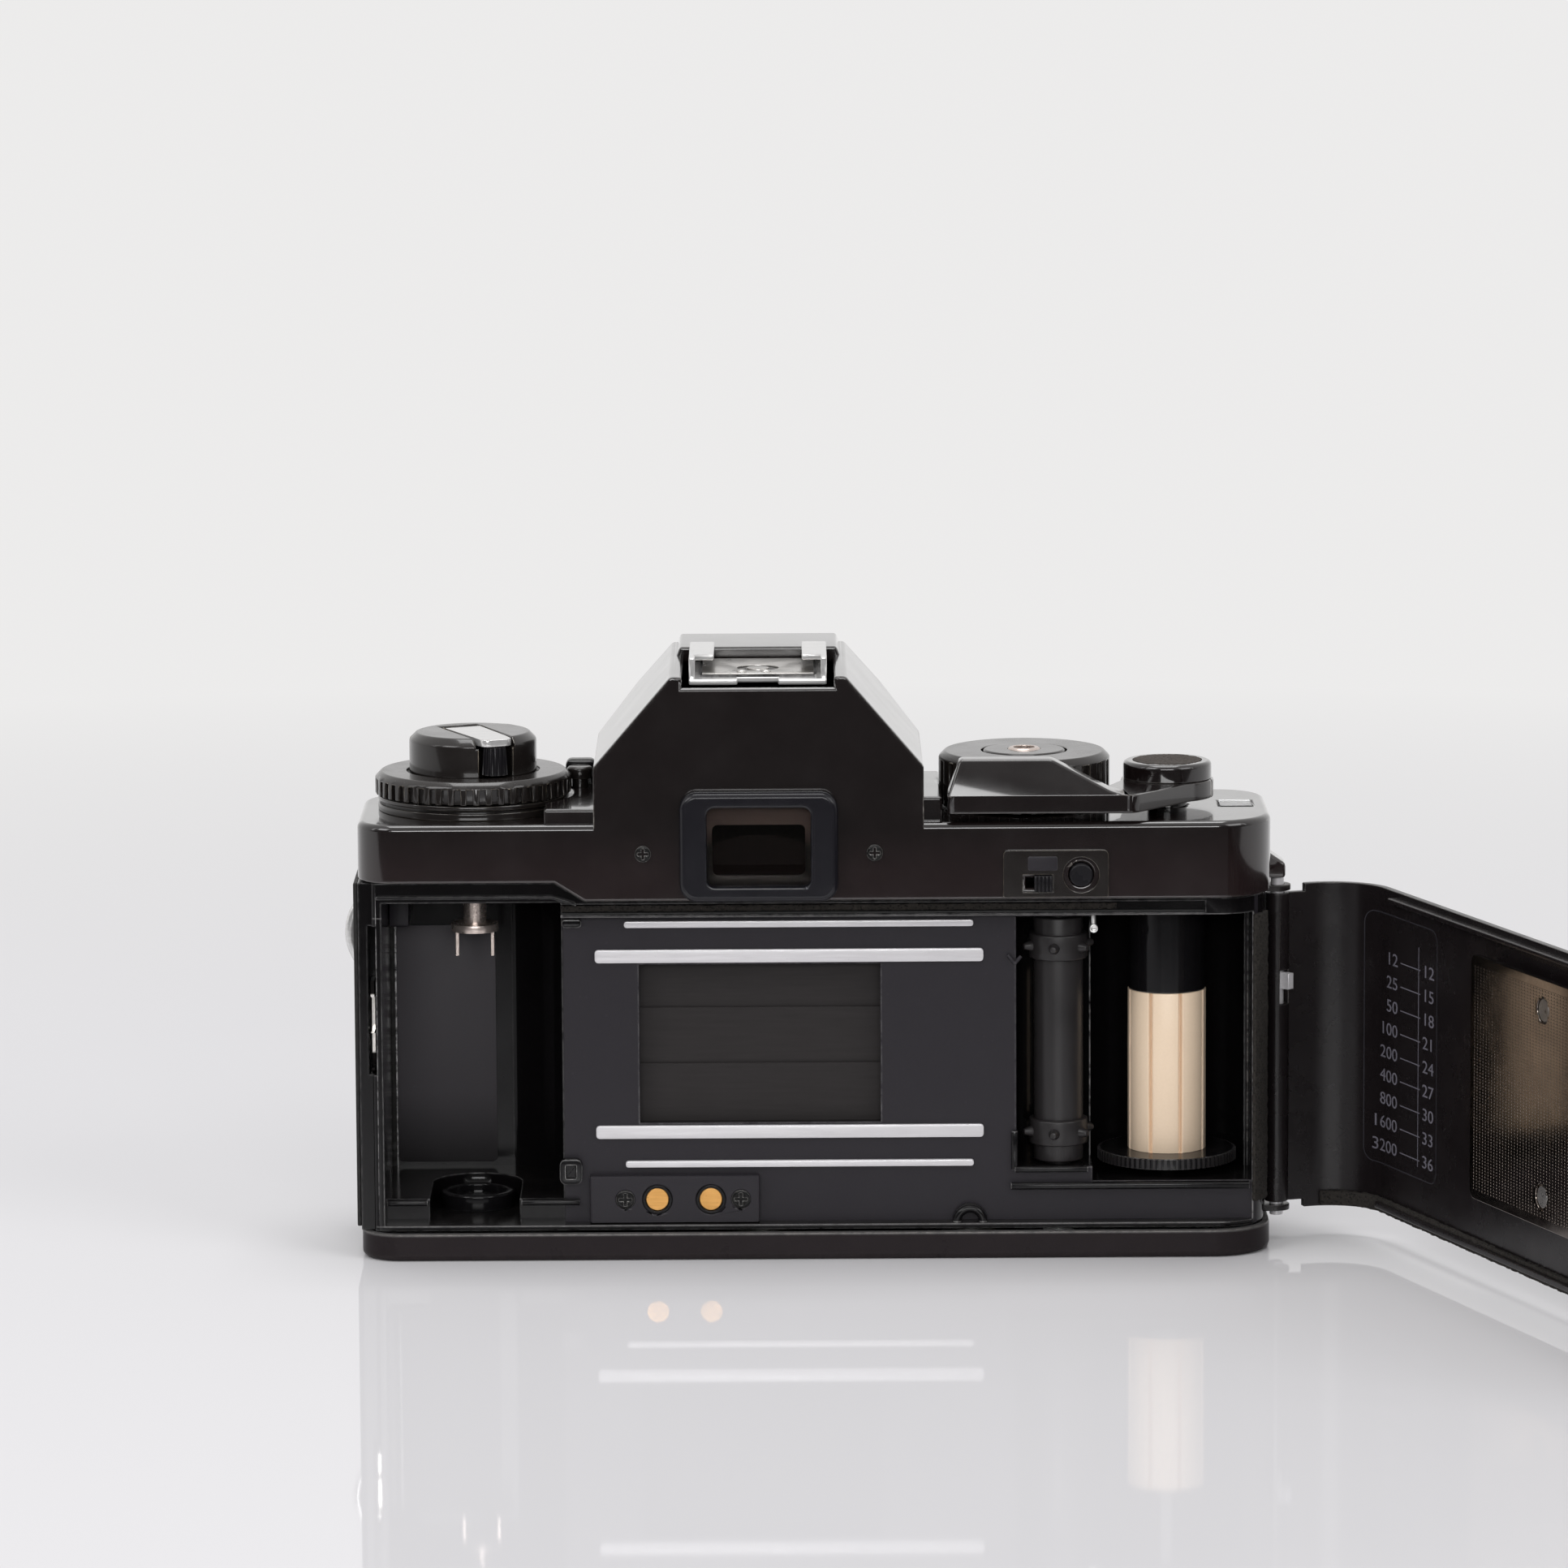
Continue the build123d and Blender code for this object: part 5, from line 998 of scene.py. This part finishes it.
def makeBit(name, low, high, axis, corner, edge=0.14, dish=0.0, finish="glossMoulding", slotName="casting_paint"):
    piece = roundBlock(low, high, axis, corner, edge)
    if dish:
        startEdit(piece)
        pickFaces(piece, lambda c, n: n.y < -0.95 and abs(c.y - low[1]) < 0.05)
        insetFaces(dish)
        insetFaces(dishShape["wall"], -dishShape["sink"])
        endEdit()
    settle(piece, name, "body", finish)


for bit in castBits:
    makeBit(**bit)

# small bent catch beside the sprocket
gateNotch = dict(points=[(37.0, -11.4, 45.3), (38.1, -11.4, 44.0), (39.0, -11.4, 45.1)], radius=0.28, edge=0.08)


def makeGateNotch(points, radius, edge):
    notch = joinPieces([addRod(start, end, radius, 12) for start, end in zip(points, points[1:])])
    softenEdges(notch, edge)
    settle(notch, "gateNotch", "body", "plateMoulding")


makeGateNotch(**gateNotch)

# bright end of a pin at the top of the take-up space
ceilingPin = dict(x=49.85, z=49.2, rear=-11.6, front=-9.4, radius=0.62, rim=0.26, sink=0.5, postY=-10.2, postTop=52.0,
                  postRadius=0.35, edge=0.06)


def makeCeilingPin(x, z, rear, front, radius, rim, sink, postY, postTop, postRadius, edge):
    pin = dishEnd(addRod((x, rear, z), (x, front, z), radius, 24), rearward, [(rim, -sink)], edge)
    post = addRod((x, postY, z), (x, postY, postTop), postRadius, 16)
    softenEdges(post, edge)
    settle(joinPieces([pin, post]), "ceilingPin", "body", "chrome")


makeCeilingPin(**ceilingPin)
print("gate castings added")

# lip under the raised left part of the cover, with its slanted end
recessLip = dict(left=-57.0, corner=-31.0, end=-27.2, high=55.15, low=54.05, thick=0.6, rear=-14.45, seat=-13.6,
                 edge=0.22)


def makeRecessLip(left, corner, end, high, low, thick, rear, seat, edge):
    lip = addBlock((left, rear, high - thick), (corner, seat, high))
    editFacing(lip, rightward)
    pushFaces(end - corner, 0, low - high)
    endEdit()
    softenEdges(lip, edge, 3)
    settle(lip, "recessLip", "body", "glossMoulding")


makeRecessLip(**recessLip)

# pebbled inlay on the wind lever's cap
capInlay = dict(radius=5.15, low=72.6, high=72.98, rings=9, ringWidth=0.5, pebble=0.6, rise=0.16)


def makeCapInlay(radius, low, high, rings, ringWidth, pebble, rise):
    disc = addPost(boxOf("lever_cap")[2], low, high, radius, 64)
    editFacing(disc, upward)
    for ring in range(rings):
        insetFaces(ringWidth)
    endEdit()
    texture = bpy.data.textures.new("pebbles", "VORONOI")
    texture.noise_scale = pebble * mm
    useModifier(disc, "SUBSURF", subdivision_type="SIMPLE", levels=1, render_levels=1)
    useModifier(disc, "DISPLACE", texture=texture, texture_coords="LOCAL", strength=rise * mm, mid_level=0.7)
    settle(disc, "leverCapInlay", "lever", "corkGrip", 60)


makeCapInlay(**capInlay)

# bright spring sheet on the floor of the shoe, open round the contact, with two dimples
shoeSpring = dict(half=8.3, rear=-9.6, front=6.4, low=87.45, high=87.72, contactY=-3.75, hole=3.1, edge=0.08,
                  dimples=[(-2.4, -8.6), (1.2, -8.6)], dimpleRadius=0.75, dimpleHeight=0.55)


def makeShoeSpring(half, rear, front, low, high, contactY, hole, edge, dimples, dimpleRadius, dimpleHeight):
    sheet = addBlock((-half, rear, low), (half, front, high))
    cutAway(sheet, addRod((0, contactY, low - 1), (0, contactY, high + 1), hole, 64))
    softenEdges(sheet, edge)
    parts = [sheet]
    for x, y in dimples:
        clearSelection()
        bpy.ops.mesh.primitive_uv_sphere_add(segments=24, ring_count=12, radius=dimpleRadius * mm,
                                             location=Vector((x, y, high)) * mm)
        parts.append(bpy.context.object)
        parts[-1].scale = (1.0, 1.0, dimpleHeight)
    settle(joinPieces(parts), "shoeSpring", "body", "steel", 40)


makeShoeSpring(**shoeSpring)

# ring at the foot of the cassette chamber
cassetteSeat = dict(x=-42.9, y=2.0, outer=5.6, inner=4.3, low=4.9, high=7.4, sink=1.6, moat=1.4, boss=0.9, edge=0.3)


def makeCassetteSeat(x, y, outer, inner, low, high, sink, moat, boss, edge):
    ring = addRod((x, y, low), (x, y, high), outer, 96)
    dishEnd(ring, upward, [(outer - inner, -sink), (moat, boss)], edge, 3)
    settle(ring, "cassetteSeat", "body", "glossMoulding")


makeCassetteSeat(**cassetteSeat)

# black collars round the gold contacts: painted shade of the recess round each pin
contactCollars = dict(wide=0.5, rear=-12.63, front=-11.9, step=0.42, sink=0.6, edge=0.05)


def makeContactCollars(wide, rear, front, step, sink, edge):
    low, high, middle = boxOf("contact_pins")
    radius = (high.z - low.z) / 2
    rings = []
    for x in (low.x + radius, high.x - radius):
        ring = addRod((x, rear, middle.z), (x, front, middle.z), radius + wide, 64)
        rings.append(dishEnd(ring, rearward, [(step, -sink)], edge))
    settle(joinPieces(rings), "contactCollars", "body", "collarPaintedShade")


makeContactCollars(**contactCollars)

# baffle behind the eyepiece lens, with the finder's opening in it, standing in for the view into the finder: its brown
# upper band is painted light and its black lower part is painted shade
finderBaffle = dict(half=9.6, low=55.2, high=70.4, rear=-13.5, front=-12.9, openHalf=6.9, openLow=57.9, openHigh=65.5,
                    corner=0.8, openEdge=0.02, edge=0.12)


def makeBaffle(half, low, high, rear, front, openHalf, openLow, openHigh, corner, openEdge, edge):
    sheet = addBlock((-half, rear, low), (half, front, high))
    cutAway(sheet, roundBlock((-openHalf, rear - 1, openLow), (openHalf, front + 1, openHigh), 1, corner, openEdge))
    softenEdges(sheet, edge)
    settle(sheet, "finderBaffle", "body", "baffleLitAndShaded")


makeBaffle(**finderBaffle)

# bright-edged arch on the lower rim
rimArch = dict(place=(31.3, -12.4, 5.0), major=1.95, minor=0.62)


def makeRimArch(place, major, minor):
    clearSelection()
    bpy.ops.mesh.primitive_torus_add(major_radius=major * mm, minor_radius=minor * mm, major_segments=48,
                                     minor_segments=16, location=Vector(place) * mm, rotation=(math.pi / 2, 0, 0))
    piece = bpy.context.object
    freeze()
    startEdit(piece)
    bpy.ops.mesh.bisect(plane_co=(0, 0, place[2] * mm), plane_no=upward, use_fill=True, clear_inner=True)
    endEdit()
    settle(piece, "rimArch", "body", "glossMoulding", 40)


makeRimArch(**rimArch)

# housing round the lock of the film-speed dial, and the bare label window above the slider
plateRear = boxOf("switch_plate")[0].y
lockHousing = dict(name="lockHousing", low=(-29.2, 9.95, 66.6), high=(-24.7, 12.4, 71.9), axis=1, corner=0.9,
                   edge=0.15, slotName="black_plastic")
labelWindow = dict(name="labelWindow", low=(39.9, plateRear - 0.06, 58.85), high=(44.3, plateRear + 0.2, 60.95), axis=1,
                   corner=0.3, edge=0.03, finish="plateMoulding", slotName="black_plastic")
makeBit(**lockHousing)
makeBit(**labelWindow)
print("small fittings added")

# stage: pale glossy table that fades into a plain pale background
stageLook = dict(pale=(0.842, 0.835, 0.832), table=(0.80, 0.785, 0.80), size=14, mirrorShare=0.22, mirrorRough=0.035,
                 fade=(0.2, 0.6), frontEdge=-0.215, frontSoft=0.02, frontDim=0.11)


def paleGlow(tree):
    glow = addNode(tree, "Emission")
    glow.inputs["Color"].default_value = (*stageLook["pale"], 1)
    return glow


def makeTable():
    clearSelection()
    bpy.ops.mesh.primitive_plane_add(size=stageLook["size"], location=(0, 0, 0))
    table = bpy.context.object
    table.name = "tableTop"
    material = bpy.data.materials.new("paleTable")
    material.use_nodes = True
    tree = material.node_tree
    tree.nodes.clear()
    matt = addNode(tree, "BsdfDiffuse")
    matt.inputs["Color"].default_value = (*stageLook["table"], 1)
    shine = addNode(tree, "BsdfGlossy")
    shine.inputs["Roughness"].default_value = stageLook["mirrorRough"]
    polished = mixShaders(tree, stageLook["mirrorShare"], matt.outputs[0], shine.outputs[0])
    place = objectPlace(tree)
    reach = addNode(tree, "VectorMath", operation="LENGTH")
    tree.links.new(place, reach.inputs[0])
    far = stretch(tree, reach.outputs["Value"], *stageLook["fade"])
    faded = mixShaders(tree, far, polished, paleGlow(tree).outputs[0])
    # past the near edge of the picture the table is in a dim room
    edge = stageLook["frontEdge"]
    near = stretch(tree, splitAxes(tree, place)["Y"], edge - stageLook["frontSoft"], edge, 1.0, 0.0)
    room = paleGlow(tree)
    seen = addNode(tree, "LightPath").outputs["Is Camera Ray"]
    tree.links.new(mixValue(tree, seen, stageLook["frontDim"], 1.0), room.inputs["Strength"])
    whole = mixShaders(tree, near, faded, room.outputs[0])
    tree.links.new(whole, addNode(tree, "OutputMaterial").inputs["Surface"])
    table.data.materials.append(material)


roomLook = dict(light=(0.95, 0.97, 1.0), strength=0.36, dim=0.12, dimSide=(-0.55, -0.05), ceiling=(0.35, 0.75))


def makeWorld():
    world = bpy.data.worlds.new("paleRoom")
    bpy.context.scene.world = world
    world.use_nodes = True
    tree = world.node_tree
    tree.nodes.clear()
    seen = addNode(tree, "Background")
    seen.inputs["Color"].default_value = (*stageLook["pale"], 1)
    light = addNode(tree, "Background")
    light.inputs["Color"].default_value = (*roomLook["light"], 1)
    light.inputs["Strength"].default_value = roomLook["strength"]
    path = addNode(tree, "LightPath").outputs
    plain = work(tree, "MAXIMUM", path["Is Camera Ray"], path["Is Transmission Ray"])
    shown = work(tree, "MAXIMUM", plain, path["Is Glossy Ray"])
    # the side behind the photographer is dim, as a room is
    side = splitAxes(tree, addNode(tree, "TexCoord").outputs["Generated"])
    dim = stretch(tree, side["Y"], *roomLook["dimSide"], roomLook["dim"], 1.0)
    level = work(tree, "MAXIMUM", dim, stretch(tree, side["Z"], *roomLook["ceiling"]))
    tree.links.new(mixValue(tree, path["Is Glossy Ray"], 1.0, level), seen.inputs["Strength"])
    mixed = mixShaders(tree, shown, light.outputs[0], seen.outputs[0])
    tree.links.new(mixed, addNode(tree, "OutputWorld").inputs["Surface"])


lamps = {
    "keyLeft": dict(place=(-0.95, -0.9, 1.05), aim=(0.0, 0.0, 0.03), size=(0.7, 0.7), watts=6.3),
    "fillRight": dict(place=(1.0, -0.85, 0.8), aim=(0.02, 0.0, 0.03), size=(0.7, 0.7), watts=4.5),
    "frontFill": dict(place=(0.0, -1.5, 0.46), aim=(0.0, 0.0, 0.03), size=(0.9, 0.3), watts=7.6),
    "overhead": dict(place=(0.0, 0.1, 1.2), aim=(0.0, 0.0, 0.05), size=(0.65, 0.55), watts=6.0),
    "leftStrip": dict(place=(-1.0, -0.25, 0.62), aim=(0.0, 0.0, 0.05), size=(0.08, 0.6), watts=0.55),
    "rightStrip": dict(place=(1.0, -0.35, 0.6), aim=(0.0, 0.0, 0.05), size=(0.08, 0.6), watts=0.35),
}


def makeLamp(name, place, aim, size, watts):
    light = bpy.data.lights.new(name, "AREA")
    light.shape = "RECTANGLE"
    light.size, light.size_y = size
    light.energy = watts
    holder = bpy.data.objects.new(name, light)
    bpy.context.scene.collection.objects.link(holder)
    holder.location = place
    holder.rotation_euler = (Vector(aim) - Vector(place)).to_track_quat("-Z", "Y").to_euler()


viewpoint = dict(place=(0.003802, -1.2015, 0.2547), down=8.762, roll=0.0058, lens=185.96, sensor=36.0, clip=(0.05, 60))


def makeCamera(place, down, roll, lens, sensor, clip):
    data = bpy.data.cameras.new("photographer")
    data.lens, data.sensor_width = lens, sensor
    data.clip_start, data.clip_end = clip
    camera = bpy.data.objects.new("photographer", data)
    bpy.context.scene.collection.objects.link(camera)
    tilt = Matrix.Rotation(math.radians(90 - down), 4, "X")
    camera.matrix_world = Matrix.Translation(place) @ tilt @ Matrix.Rotation(-roll, 4, "Z")
    bpy.context.scene.camera = camera


clearSelection()
makeTable()
makeWorld()
for name, lamp in lamps.items():
    makeLamp(name, **lamp)
makeCamera(**viewpoint)
bpy.context.scene.view_settings.view_transform = "Standard"
print("stage, lamps and camera set")
